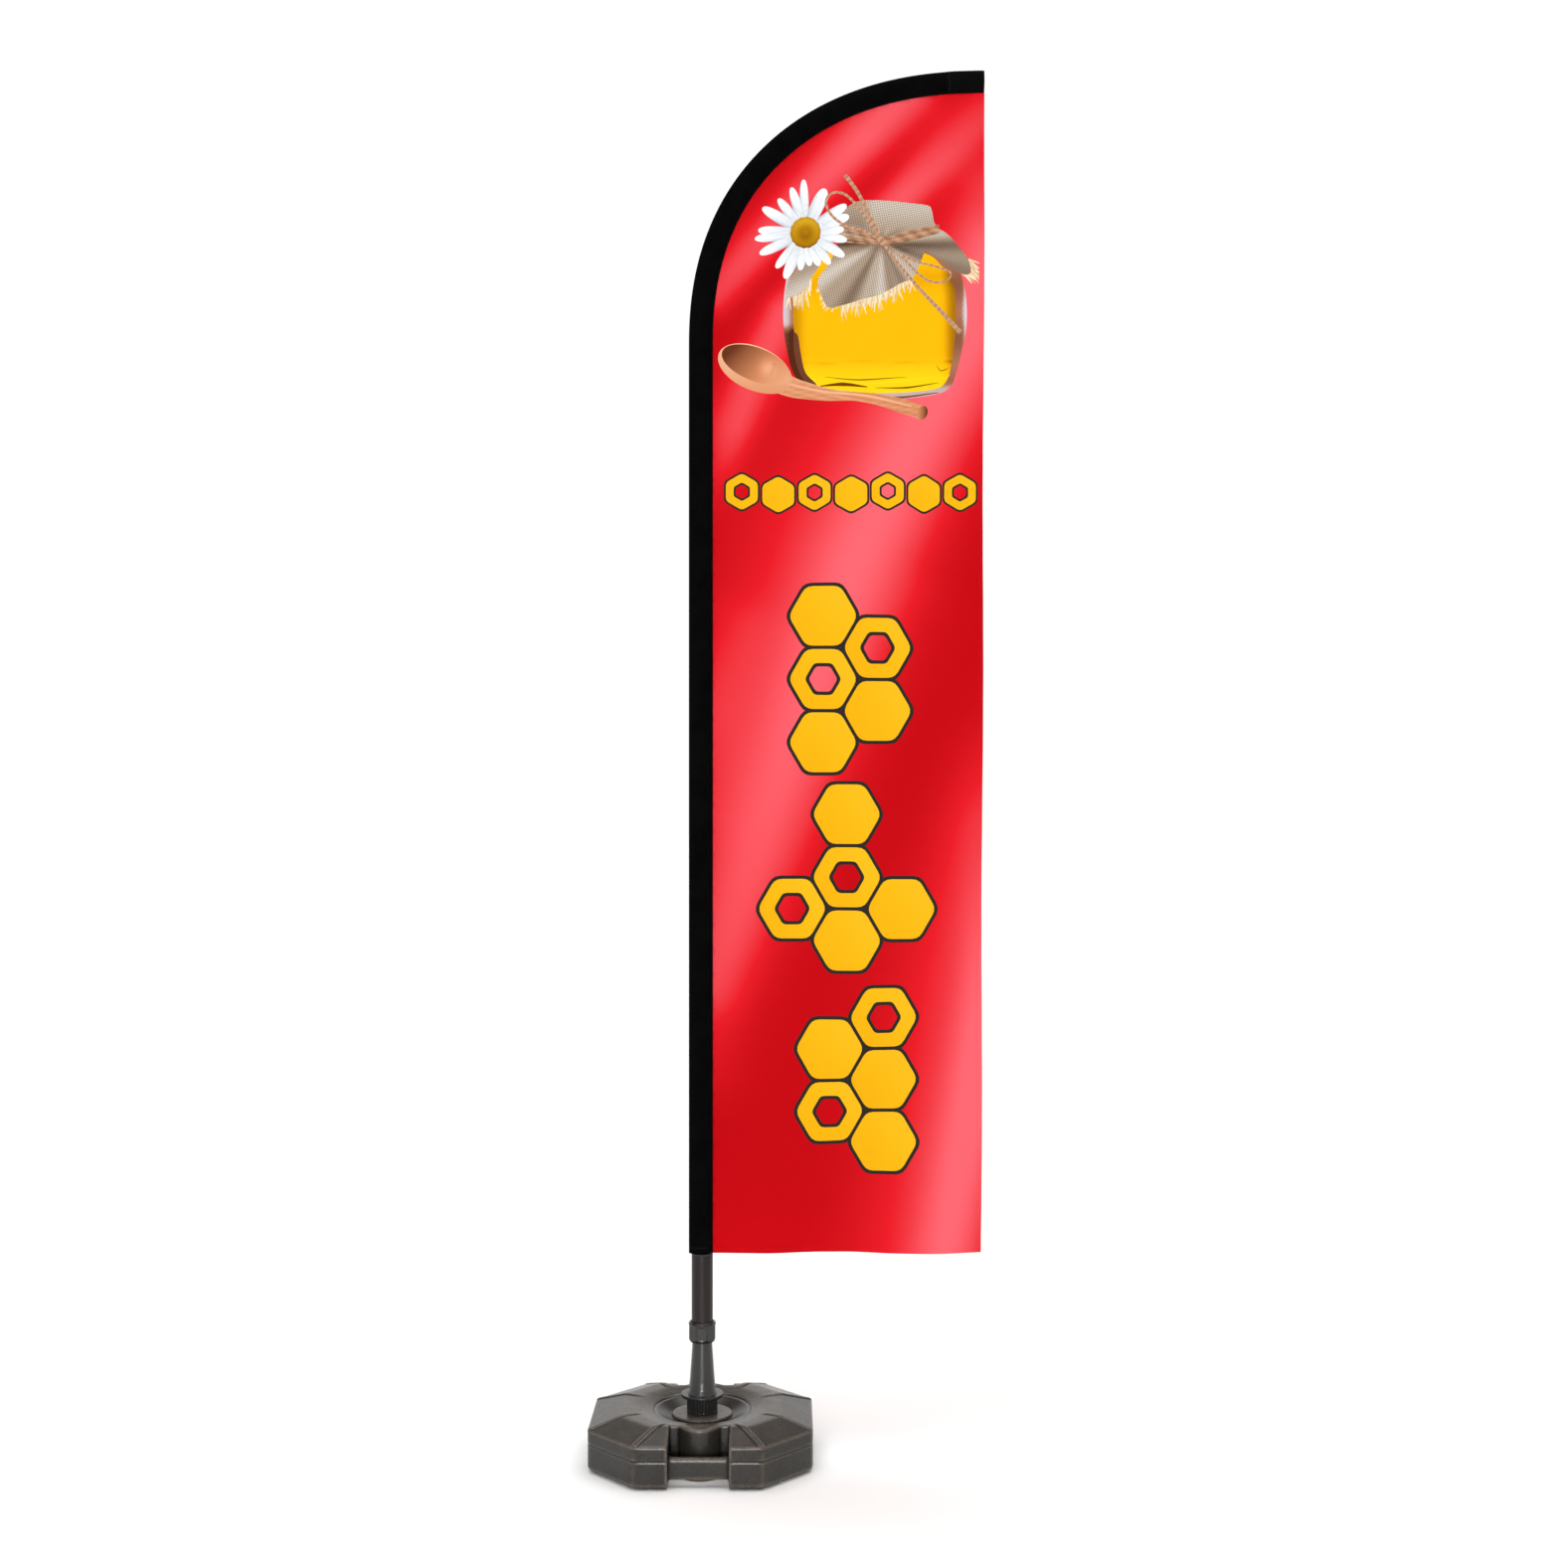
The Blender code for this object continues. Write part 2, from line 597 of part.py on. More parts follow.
def make_spacers():
    low = LOWER_BEARING_Z + BEARING_WIDTH + GAP
    high = UPPER_BEARING_Z - GAP
    pairs = {
        "inner_race_spacer": (SPINDLE_R + GAP, SPINDLE_R + GAP + RACE_THICK - GAP),
        "outer_race_spacer": (BEARING_R - RACE_THICK + GAP, BEARING_R),
    }
    for name, (inner, outer) in pairs.items():
        profile = [(inner, low), (outer, low), (outer, high), (inner, high)]
        turned(name, profile, "aluminium", FINE)


# ---------------------------------------------------------------- turning tube and reducer


def tab_screw_hole(start_y):
    """A cutter along +Y for the screw that holds the tube, the reducer and the flag's tab."""
    radius = TAB_SCREW_R + GAP
    hole = turned("hole", [(radius, 0.0), (radius, PAST)], None, ROD_SIDES, closed=False)
    hole.rotation_euler.x = -math.pi / 2
    hole.location = (0.0, start_y, TAB_SCREW_Z)
    return hole


def make_turning_tube():
    groove = TUBE_BORE_R + RING_GROOVE
    ring_top = LOWER_BEARING_Z - GAP
    ring_low = ring_top - RING_THICK - GAP
    profile = [
        (TUBE_R, TUBE_TOP_Z),
        (TUBE_R, TUBE_BOTTOM_Z),
        (TUBE_BORE_R, TUBE_BOTTOM_Z),
        (TUBE_BORE_R, ring_low),
        (groove, ring_low),
        (groove, ring_top + GAP),
        (TUBE_BORE_R, ring_top + GAP),
        (TUBE_BORE_R, TUBE_TOP_Z),
    ]
    tube = turned("turning_tube", profile, "black_aluminium")
    combine(tube, tab_screw_hole(0.0), "DIFFERENCE")
    outer = groove - GAP
    inner = outer - RING_WIDTH
    low, high = ring_low + GAP, ring_top
    clip = [(inner, low), (outer, low), (outer, high), (inner, high)]
    ring = turned("tube_retaining_ring", clip, "steel")
    cut_radial_slot(ring, 2 * outer, RING_SLOT, 0.0, 1.0)


def make_reducer():
    skirt_low = UPPER_BEARING_Z + BEARING_WIDTH + GAP
    web_top = REDUCER_WEB_Z + REDUCER_WEB
    flange_low = TUBE_TOP_Z + GAP
    nose_top = NOSE_FOOT_Z + NOSE_HEIGHT
    socket_r = LOWER_MAST_R + GAP
    skirt_r = BEARING_R - REDUCER_SKIRT
    profile = [
        (skirt_r, REDUCER_WEB_Z),
        (skirt_r, skirt_low),
        (BEARING_R, skirt_low),
        (BEARING_R, flange_low),
        (TUBE_R, flange_low),
        (TUBE_R, NOSE_FOOT_Z),
        (NOSE_R, NOSE_FOOT_Z),
        (NOSE_R, nose_top),
        (socket_r, nose_top),
        (socket_r, web_top),
    ]
    reducer = turned("mast_reducer", profile, "nylon", closed=False)
    depth = (socket_r + BEARING_R) / 2 - GAP
    return combine(reducer, tab_screw_hole(depth), "DIFFERENCE")


def make_tab_screw():
    tip = (LOWER_MAST_R + GAP + BEARING_R) / 2
    seat = TUBE_R + TAB_THICK + 2 * GAP
    profile = [
        (TAB_SCREW_R, tip),
        (TAB_SCREW_R, seat),
        (TAB_SCREW_HEAD_R, seat),
        (TAB_SCREW_HEAD_R, seat + TAB_SCREW_HEAD / 2),
        (TAB_SCREW_HEAD_R * 0.7, seat + TAB_SCREW_HEAD),
    ]
    screw = turned("tab_screw", profile, "steel", ROD_SIDES, closed=False)
    screw.rotation_euler.x = -math.pi / 2
    screw.location.z = TAB_SCREW_Z
    return screw


# ---------------------------------------------------------------- pole line


def leading_edge(share):
    """A point on the sleeve's curved outer edge: share runs from 0, where it starts, to 1."""
    angle = share * math.pi / 2
    power = 2 / CURVE_POWER
    wide = FLAG_RIGHT_X - SLEEVE_LEFT_X
    tall = FLAG_TOP_Z - CURVE_START_Z
    x = FLAG_RIGHT_X - wide * max(0.0, math.cos(angle)) ** power
    return Vector((x, 0.0, CURVE_START_Z + tall * math.sin(angle) ** power))


def edge_normal(share):
    """The direction from the curved outer edge in towards the flag."""
    step = 0.004
    ahead = leading_edge(min(1.0, share + step)) - leading_edge(max(0.0, share - step))
    return Vector((ahead.z, 0.0, -ahead.x)).normalized()


def blend(start, end, share):
    return start + (end - start) * share


def make_pole_line():
    """Stations up the pole from the mast's foot to the tip: (distance, point, inward normal)."""
    heights = [MAST_BOTTOM, FLAG_BOTTOM_Z]
    spans = math.ceil((CURVE_START_Z - FLAG_BOTTOM_Z) / 0.4)
    heights += [blend(FLAG_BOTTOM_Z, CURVE_START_Z, i / spans) for i in range(1, spans + 1)]
    line = [(z, Vector((0.0, 0.0, z)), Vector((1.0, 0.0, 0.0))) for z in heights]
    for i in range(1, CURVE_STEPS + 1):
        share = i / CURVE_STEPS
        offset = blend(-SLEEVE_LEFT_X, SLEEVE_TIP_OFFSET, share)
        normal = Vector((0.0, 0.0, -1.0)) if i == CURVE_STEPS else edge_normal(share)
        point = leading_edge(share) + normal * offset
        distance = line[-1][0] + (point - line[-1][1]).length
        line.append((distance, point, normal))
    return line


POLE_LINE = make_pole_line()
TIP = POLE_LINE[-1][0]
POLE_TIP = TIP - PATCH_THICK - 2 * GAP


def station(distance):
    """The pole line at one distance, between its stations."""
    for (low, a, normal_a), (high, b, normal_b) in zip(POLE_LINE, POLE_LINE[1:]):
        if distance <= high:
            share = (distance - low) / (high - low)
            break
    else:
        share = 1.0
    return distance, a.lerp(b, share), normal_a.lerp(normal_b, share).normalized()


def stretch(start, end):
    """The stations from one distance to another, both ends included."""
    between = [s for s in POLE_LINE if start + 1e-4 < s[0] < end - 1e-4]
    return [station(start), *between, station(end)]


def section(at, half_width, half_depth, sides, shift=0.0):
    """An oval loop across the pole line, moved towards the flag by shift."""
    centre, normal = at[1] + at[2] * shift, at[2]
    turns = [2 * math.pi * i / sides for i in range(sides)]
    return [
        centre + normal * half_width * math.cos(t) + Vector((0, half_depth * math.sin(t), 0))
        for t in turns
    ]


def pole_tube(name, start, end, radius, wall, material, sides=TUBE_SIDES, end_radius=None):
    """A round pole section along the pole line, solid where wall is None."""
    last = radius if end_radius is None else end_radius
    spots = stretch(start, end)
    radii = [blend(radius, last, (s[0] - start) / (end - start)) for s in spots]
    loops = [section(s, r, r, sides) for s, r in zip(spots, radii)]
    if wall is None:
        return loft(name, loops, material)
    loops += [section(s, r - wall, r - wall, sides) for s, r in reversed(list(zip(spots, radii)))]
    return loft(name, loops, material, closed=True)


def ferrule_radius(radius):
    return radius + GAP + FERRULE_WALL


def ferrule(name, end, radius, material, sides=TUBE_SIDES):
    """A steel ring round the open end of a section, which stops it from splitting."""
    outer = ferrule_radius(radius)
    return pole_tube(name, end - FERRULE_LENGTH, end, outer, FERRULE_WALL, material, sides)


def make_pole():
    middle_start = LOWER_MAST_END - PLUG_IN
    rod_start = MIDDLE_MAST_END - PLUG_IN
    tip_start = LOWER_ROD_END - PLUG_IN
    rod_end = POLE_TIP - TIP_CAP_WALL - GAP
    pole_tube("lower_mast", MAST_BOTTOM, LOWER_MAST_END, LOWER_MAST_R, LOWER_MAST_WALL, "aluminium")
    ferrule("lower_ferrule", LOWER_MAST_END, LOWER_MAST_R, "steel")
    pole_tube(
        "middle_mast", middle_start, MIDDLE_MAST_END, MIDDLE_MAST_R, MIDDLE_MAST_WALL, "aluminium"
    )
    ferrule("middle_ferrule", MIDDLE_MAST_END, MIDDLE_MAST_R, "steel")
    pole_tube(
        "lower_rod", rod_start, LOWER_ROD_END, LOWER_ROD_R, LOWER_ROD_WALL, "fibreglass", ROD_SIDES
    )
    ferrule("upper_ferrule", LOWER_ROD_END, LOWER_ROD_R, "steel", ROD_SIDES)
    pole_tube("tip_rod", tip_start, rod_end, TIP_ROD_R, None, "fibreglass", ROD_SIDES, TIP_ROD_END_R)


def tip_cap_radius():
    return TIP_ROD_END_R + 3 * GAP + TIP_CAP_WALL


def make_tip_cap():
    """A blunt rubber cap, closed at the end, that keeps the rod from wearing through the sleeve."""
    start = POLE_TIP - TIP_CAP_LENGTH
    floor = POLE_TIP - TIP_CAP_WALL
    outer = tip_cap_radius()
    bore = outer - TIP_CAP_WALL
    rows = [
        (floor, bore),
        (start, bore),
        (start, outer),
        (POLE_TIP - TIP_CAP_WALL, outer),
        (POLE_TIP, outer - TIP_CAP_WALL / 2),
    ]
    loops = [section(station(s), r, r, ROD_SIDES) for s, r in rows]
    return loft("tip_cap", loops, "rubber")


# ---------------------------------------------------------------- flag


def pole_girths():
    """The widest radius inside the sleeve at its foot, at each ferrule and at the tip."""
    ferrules = [
        (LOWER_MAST_END, LOWER_MAST_R),
        (MIDDLE_MAST_END, MIDDLE_MAST_R),
        (LOWER_ROD_END, LOWER_ROD_R),
    ]
    girths = [(FLAG_BOTTOM_Z, NOSE_R)]
    girths += [(distance, ferrule_radius(radius)) for distance, radius in ferrules]
    return girths + [(TIP, tip_cap_radius())]


def sleeve_depth(distance):
    """Half the sleeve's thickness, which narrows evenly from one girth to the next."""
    girths = pole_girths()
    for (low, a), (high, b) in zip(girths, girths[1:]):
        if distance <= high:
            return blend(a, b, (distance - low) / (high - low)) + SLEEVE_SLACK + SLEEVE_WALL
    return girths[-1][1] + SLEEVE_SLACK + SLEEVE_WALL


def curve_share(at):
    """0 on the sleeve's straight part, rising to 1 at its tip."""
    return max(0.0, (at[0] - CURVE_START_Z) / (TIP - CURVE_START_Z))


def sleeve_loop(at, inset):
    half = blend(SLEEVE_WIDTH, SLEEVE_TIP_WIDTH, curve_share(at)) / 2
    depth = sleeve_depth(at[0])
    edge = blend(-SLEEVE_LEFT_X, SLEEVE_TIP_OFFSET, curve_share(at))
    return section(at, half - inset, depth - inset, ROD_SIDES, half - edge)


def make_sleeve():
    spots = stretch(FLAG_BOTTOM_Z, TIP - PATCH_THICK - GAP)
    spots += [station(distance) for distance, girth in pole_girths()[1:-1]]
    spots.sort(key=lambda spot: spot[0])
    loops = [sleeve_loop(s, 0.0) for s in spots]
    loops += [sleeve_loop(s, SLEEVE_WALL) for s in reversed(spots)]
    loft("flag_sleeve", loops, "sleeve_fabric", closed=True)
    ends = stretch(TIP - PATCH_THICK, TIP)
    loft("sleeve_end_patch", [sleeve_loop(s, 0.0) for s in ends], "webbing")


def flag_outline():
    """The panel's edge as (x, z), from the foot of the seam round to the foot of the free edge."""
    seam = []
    for at in stretch(FLAG_BOTTOM_Z, TIP):
        half = blend(SLEEVE_WIDTH, SLEEVE_TIP_WIDTH, curve_share(at)) / 2
        edge = blend(-SLEEVE_LEFT_X, SLEEVE_TIP_OFFSET, curve_share(at))
        point = at[1] + at[2] * (2 * half - edge + GAP)
        seam.append((point.x, point.z))
    top_z = seam[-1][1]
    rows = math.ceil((top_z - FLAG_BOTTOM_Z) / CLOTH_CELL)
    free = []
    for i in range(1, rows + 1):
        down = i / rows
        free.append((FLAG_RIGHT_X - FLAG_LEAN * down, blend(top_z, FLAG_BOTTOM_Z, down)))
    left = seam[0][0]
    right = free[-1][0]
    columns = math.ceil((right - left) / CLOTH_CELL)
    foot = [(blend(right, left, i / columns), FLAG_BOTTOM_Z) for i in range(1, columns)]
    return seam + free + foot


def seam_distance(x, z, seam):
    return min(math.hypot(x - a, z - b) for a, b in seam)


def fold_depth(x, z, seam):
    """How far the cloth stands out of the flag's plane, towards +Y."""
    lean = math.radians(WAVE_LEAN)
    across = x * math.sin(lean) - z * math.cos(lean)
    ease = min(1.0, seam_distance(x, z, seam) / WAVE_EASE)
    return WAVE_HEIGHT * ease * ease * (3 - 2 * ease) * math.sin(2 * math.pi * across / WAVE_LENGTH)


def inside(x, z, outline, margin):
    """Whether a point is inside the outline and at least margin from its corners."""
    crossings = 0
    for (xa, za), (xb, zb) in zip(outline, outline[1:] + outline[:1]):
        if (za > z) != (zb > z) and x < xa + (z - za) * (xb - xa) / (zb - za):
            crossings += 1
    return crossings % 2 == 1 and seam_distance(x, z, outline) > margin


def make_flag_panel():
    outline = flag_outline()
    seam = outline[: len(stretch(FLAG_BOTTOM_Z, TIP))]
    fine_seam = []
    for i in range(SEAM_POINTS + 1):
        _, centre, normal = station(blend(FLAG_BOTTOM_Z, TIP, i / SEAM_POINTS))
        spot = centre + normal * SLEEVE_WIDTH / 2
        fine_seam.append((spot.x, spot.z))
    points = list(outline)
    columns = math.ceil((FLAG_RIGHT_X - SLEEVE_LEFT_X) / CLOTH_CELL)
    rows = math.ceil((FLAG_TOP_Z - FLAG_BOTTOM_Z) / CLOTH_CELL)
    for i in range(columns):
        for k in range(rows):
            x = SLEEVE_LEFT_X + (i + 0.5) * CLOTH_CELL
            z = FLAG_BOTTOM_Z + (k + 0.5) * CLOTH_CELL
            if inside(x, z, outline, CLOTH_CELL / 2):
                points.append((x, z))
    ring = list(range(len(outline)))
    made = delaunay_2d_cdt([Vector(p) for p in points], [], [ring], 1, 1e-6)
    bm = bmesh.new()
    verts = []
    for x, z in made[0]:
        depth = fold_depth(x, z, fine_seam) if (x, z) not in seam else 0.0
        verts.append(bm.verts.new((x, depth - CLOTH_THICK / 2, z)))
    faces = [bm.faces.new([verts[i] for i in face]) for face in made[2]]
    grown = bmesh.ops.extrude_face_region(bm, geom=faces)["geom"]
    back = [v for v in grown if isinstance(v, bmesh.types.BMVert)]
    bmesh.ops.translate(bm, verts=back, vec=(0.0, CLOTH_THICK, 0.0))
    return make_object("flag_panel", bm, "flag_fabric")


def make_tension_tab():
    """Webbing sewn to the sleeve's back, buttoned over the screw on the tube."""
    tube_y = TUBE_R + GAP
    sleeve_y = sleeve_depth(FLAG_BOTTOM_Z) + GAP
    line = [
        (tube_y, FLAG_BOTTOM_Z - TAB_BELOW),
        (tube_y, FLAG_BOTTOM_Z),
        (blend(tube_y, sleeve_y, 0.6), FLAG_BOTTOM_Z + TAB_BEND),
        (sleeve_y, FLAG_BOTTOM_Z + TAB_SEWN),
        (sleeve_y, FLAG_BOTTOM_Z + TAB_ABOVE),
    ]
    half = TAB_WIDTH / 2
    loops = [
        [(-half, y, z), (half, y, z), (half, y + TAB_THICK, z), (-half, y + TAB_THICK, z)]
        for y, z in line
    ]
    tab = loft("tension_tab", loops, "webbing")
    return combine(tab, tab_screw_hole(0.0), "DIFFERENCE")


def main():
    for old in list(bpy.data.objects):
        bpy.data.objects.remove(old)
    make_tank()
    make_water()
    make_gasket()
    make_pole_holder()
    make_collet()
    make_nut()
    make_spindle()
    make_spindle_plugs()
    make_retaining_rings()
    make_bearing("lower_bearing", LOWER_BEARING_Z)
    make_bearing("upper_bearing", UPPER_BEARING_Z)
    make_spacers()
    make_turning_tube()
    make_reducer()
    make_tab_screw()
    make_pole()
    make_tip_cap()
    make_sleeve()
    make_flag_panel()
    make_tension_tab()


main()
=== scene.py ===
"""A feather flag on a water-filled base: the visual model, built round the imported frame.

Metres, +Z up. The flag flies towards +X and its printed face looks towards -Y.
"""

import json
import math

import bmesh
import bpy
import numpy as np
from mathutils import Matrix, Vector
from mathutils.geometry import delaunay_2d_cdt


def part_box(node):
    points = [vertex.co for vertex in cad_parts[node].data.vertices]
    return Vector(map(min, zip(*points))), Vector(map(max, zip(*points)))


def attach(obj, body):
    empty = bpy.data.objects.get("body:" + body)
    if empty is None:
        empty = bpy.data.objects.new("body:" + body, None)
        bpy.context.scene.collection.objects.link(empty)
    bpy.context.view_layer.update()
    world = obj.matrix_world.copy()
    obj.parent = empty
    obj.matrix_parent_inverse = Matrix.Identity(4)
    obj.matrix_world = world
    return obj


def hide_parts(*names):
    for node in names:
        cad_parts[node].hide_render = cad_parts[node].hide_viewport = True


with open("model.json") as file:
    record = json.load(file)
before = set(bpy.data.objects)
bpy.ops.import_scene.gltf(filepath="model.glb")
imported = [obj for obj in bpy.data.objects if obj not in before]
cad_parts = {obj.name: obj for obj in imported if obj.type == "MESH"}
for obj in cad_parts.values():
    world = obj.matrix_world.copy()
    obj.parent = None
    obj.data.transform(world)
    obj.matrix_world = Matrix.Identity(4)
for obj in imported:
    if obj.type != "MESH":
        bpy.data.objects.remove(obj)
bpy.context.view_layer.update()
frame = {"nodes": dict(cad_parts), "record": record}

TAU = 2 * math.pi
GAP = 0.0003  # between pieces that rest on each other

# ---------------------------------------------------------------- places taken from the frame
TANK_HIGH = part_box("tank")[1]
HOLDER_LOW, HOLDER_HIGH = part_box("pole_holder")
GASKET_LOW, GASKET_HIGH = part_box("neck_gasket")
NUT_LOW, NUT_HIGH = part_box("clamp_nut")
COLLET_LOW, COLLET_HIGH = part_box("collet_ring")
SPINDLE_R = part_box("spindle")[1].x
SPINDLE_FOOT_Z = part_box("spindle_foot_plug")[0].z
TUBE_LOW, TUBE_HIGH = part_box("turning_tube")
RACE_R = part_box("lower_bearing_outer_race")[1].x
MAST_LOW, MAST_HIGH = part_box("lower_mast")
SLEEVE_LOW, SLEEVE_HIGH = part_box("flag_sleeve")
PANEL_LOW, PANEL_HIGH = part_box("flag_panel")
TAB_LOW, TAB_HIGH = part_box("tension_tab")
SCREW_LOW, SCREW_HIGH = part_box("tab_screw")
SCREW_Z = (SCREW_LOW.z + SCREW_HIGH.z) / 2

# ---------------------------------------------------------------- materials


def rgb(red, green, blue):
    """A display colour as the linear one that shaders take."""
    def linear(c):
        c /= 255
        return c / 12.92 if c <= 0.04045 else ((c + 0.055) / 1.055) ** 2.4
    return (linear(red), linear(green), linear(blue), 1.0)


class Shader:
    """A Principled material under construction. An input is a constant or another node's output,
    and its name is written with _ for each space."""

    def __init__(self, name, **inputs):
        self.material = bpy.data.materials.new(name)
        self.material.use_nodes = True
        self.tree = self.material.node_tree
        self.place = self.node("TexCoord").outputs["Object"]
        self.set(**inputs)

    def feed(self, socket, value):
        if isinstance(value, bpy.types.NodeSocket):
            self.tree.links.new(value, socket)
        else:
            socket.default_value = value

    def fill(self, made, inputs):
        for key, value in inputs.items():
            self.feed(made.inputs[key.replace("_", " ")], value)
        return made

    def set(self, **inputs):
        self.fill(self.tree.nodes["Principled BSDF"], inputs)

    def node(self, kind, settings=(), **inputs):
        made = self.tree.nodes.new("ShaderNode" + kind)
        for key, value in dict(settings).items():
            setattr(made, key, value)
        return self.fill(made, inputs)

    def noise(self, scale, detail=3.0, stretch=(1, 1, 1)):
        moved = self.node("Mapping", Vector=self.place, Scale=stretch).outputs["Vector"]
        return self.node("TexNoise", Vector=moved, Scale=scale, Detail=detail,
                         Roughness=0.55).outputs["Fac"]

    def threads(self, pitch, turn, along):
        """A soft ridge for each thread of that pitch; turn is in degrees about Y."""
        turned = (0.0, math.radians(turn), 0.0)
        moved = self.node("Mapping", Vector=self.place, Rotation=turned).outputs["Vector"]
        return self.node("TexWave", {"wave_type": "BANDS", "bands_direction": along}, Vector=moved,
                         Scale=math.pi / (10 * pitch), Distortion=0.4, Detail=1.0).outputs["Fac"]

    def maths(self, operation, a, b):
        made = self.node("Math", {"operation": operation})
        self.feed(made.inputs[0], a)
        self.feed(made.inputs[1], b)
        return made.outputs[0]

    def attribute(self, name):
        return self.node("Attribute", {"attribute_name": name}).outputs["Fac"]

    def remap(self, value, **ends):
        return self.node("MapRange", Value=value, **ends).outputs["Result"]

    def ramp(self, source, *stops):
        made = self.node("ValToRGB", Fac=source)
        elements = made.color_ramp.elements
        while len(elements) < len(stops):
            elements.new(0.5)
        for element, (at, colour) in zip(elements, stops):
            element.position, element.color = at, colour
        return made.outputs["Color"]

    def mix(self, share, a, b, kind="MIX"):
        made = self.node("Mix", {"data_type": "RGBA", "blend_type": kind})
        for k, value in ((0, share), (6, a), (7, b)):
            self.feed(made.inputs[k], value)
        return made.outputs[2]

    def surface(self, colour, rough, height, depth, strength):
        """Colour, a range of roughness (a noise and its two ends), and a bump."""
        self.set(Base_Color=colour)
        if rough:
            self.set(Roughness=self.remap(rough[0], To_Min=rough[1][0], To_Max=rough[1][1]))
        bump = self.node("Bump", Strength=strength, Distance=depth, Height=height)
        self.set(Normal=bump.outputs["Normal"])
        return self.material


DUST_AND_TOP_LIGHT_FALL, DUST_AND_TOP_LIGHT_SHARE = 24.0, 0.42  # dust and a painted top light lie on level faces and fade off the sloping ones


def plastic(name, dark, light, edge, rough, grain, depth, **inputs):
    """Moulded plastic: patchy colour, dust and a painted top light on its level faces, a fine grain,
    and edges paler (wear and a painted highlight) and creases darker (painted shade) by curvature."""
    s = Shader(name, **inputs)
    patch = s.ramp(s.noise(9.0, 5.0), (0.3, rgb(*dark)), (0.7, rgb(*light)))
    normal = s.node("NewGeometry").outputs["Normal"]
    up = s.maths("MAXIMUM", s.node("SeparateXYZ", Vector=normal).outputs["Z"], 0.0)
    # dust with a painted top light: level faces turn paler, sloping ones much less
    dust_and_top_light = s.maths("MULTIPLY", s.maths("POWER", up, DUST_AND_TOP_LIGHT_FALL), s.noise(38.0, 6.0))
    patch = s.mix(s.maths("MULTIPLY", dust_and_top_light, DUST_AND_TOP_LIGHT_SHARE), patch, rgb(*edge))
    wear_and_shade_amount = s.attribute("wear_and_shade")
    # edges that stick out turn paler: partly wear, partly a painted edge highlight
    rub_and_highlight = s.remap(wear_and_shade_amount, From_Min=0.56, From_Max=0.85, To_Max=0.36)
    patch = s.mix(s.maths("MULTIPLY", rub_and_highlight, s.noise(70.0, 4.0)), patch, rgb(*edge))
    # creases and hollows darkened: painted shade
    painted_crease_shade = s.ramp(wear_and_shade_amount, (0.12, rgb(90, 90, 90)), (0.45, rgb(255, 255, 255)))
    return s.surface(s.mix(1.0, patch, painted_crease_shade, "MULTIPLY"), (s.noise(60.0), rough),
                     s.noise(grain, 4.0), depth, 0.6)


def plain(name, dark, light, rough, grain, depth, stretch=(1, 1, 1), **inputs):
    """A finish with soft colour variation and a fine grain, stretched for brushed metal."""
    s = Shader(name, **inputs)
    colour = s.ramp(s.noise(14.0, 4.0, stretch), (0.3, rgb(*dark)), (0.7, rgb(*light)))
    return s.surface(colour, (s.noise(grain * 0.2, 3.0, stretch), rough),
                     s.noise(grain, 3.0, stretch), depth, 0.5)


def cloth(name, stops, pitch, depth, rough, tone=None, turn=0.0, shade=0.0, **inputs):
    """Woven cloth. Its colour runs through stops, by the named attribute or by soft noise."""
    s = Shader(name, Roughness=rough, **inputs)
    base = s.ramp(s.attribute(tone) if tone else s.noise(22.0, 4.0),
                  *[(at, rgb(*colour)) for at, colour in stops])
    weave = s.maths("MAXIMUM", s.threads(pitch, turn, "X"), s.threads(pitch, turn, "Z"))
    if shade:
        grey = (1 - shade, 1 - shade, 1 - shade, 1.0)
        base = s.mix(1.0, base, s.ramp(weave, (0.45, grey), (0.95, (1, 1, 1, 1))), "MULTIPLY")
    return s.surface(base, None, weave, depth, 0.5)


def ink(name, dark, middle, light, pitch=0.0009, shade=0.0, turn=0.0, half=0.5):
    """Print on the flag's satin knit: the cloth shows through, and 'tone' sets its lightness."""
    stops = ((0.0, dark), (half, middle), (1.0, light))
    return cloth(name, stops, pitch, 0.0001, 0.62, "tone", turn, shade, Specular_IOR_Level=0.05)


INKS = {name: ink(name, *row) for name, *row in (
    # the red's tone is a painted satin sheen, with painted highlights
    ("satin_red", (194, 0, 12), (228, 24, 36), (250, 100, 111), 0.0009, 0.0, 0.0, 0.28),
    ("print_amber", (236, 168, 8), (247, 184, 16), (252, 196, 40)),
    ("print_outline", (34, 30, 26), (45, 40, 36), (60, 54, 48)),
    ("print_honey", (120, 62, 0), (252, 182, 0), (255, 222, 20)),
    ("print_glass", (84, 38, 18), (170, 112, 84), (226, 218, 228)),
    ("print_burlap", (104, 78, 60), (194, 172, 150), (244, 236, 226), 0.0058, 0.52, 12.0),
    ("print_fringe", (196, 156, 112), (240, 216, 170), (255, 244, 218)),
    ("print_twine", (122, 82, 58), (196, 146, 112), (232, 196, 164), 0.0050, 0.35, 40.0),
    ("print_petal", (186, 192, 206), (236, 240, 244), (255, 255, 255)),
    ("print_disk", (132, 84, 0), (206, 146, 10), (240, 196, 50), 0.0040, 0.40, 30.0),
    ("print_wood", (104, 50, 26), (214, 138, 94), (246, 190, 150)),
)}

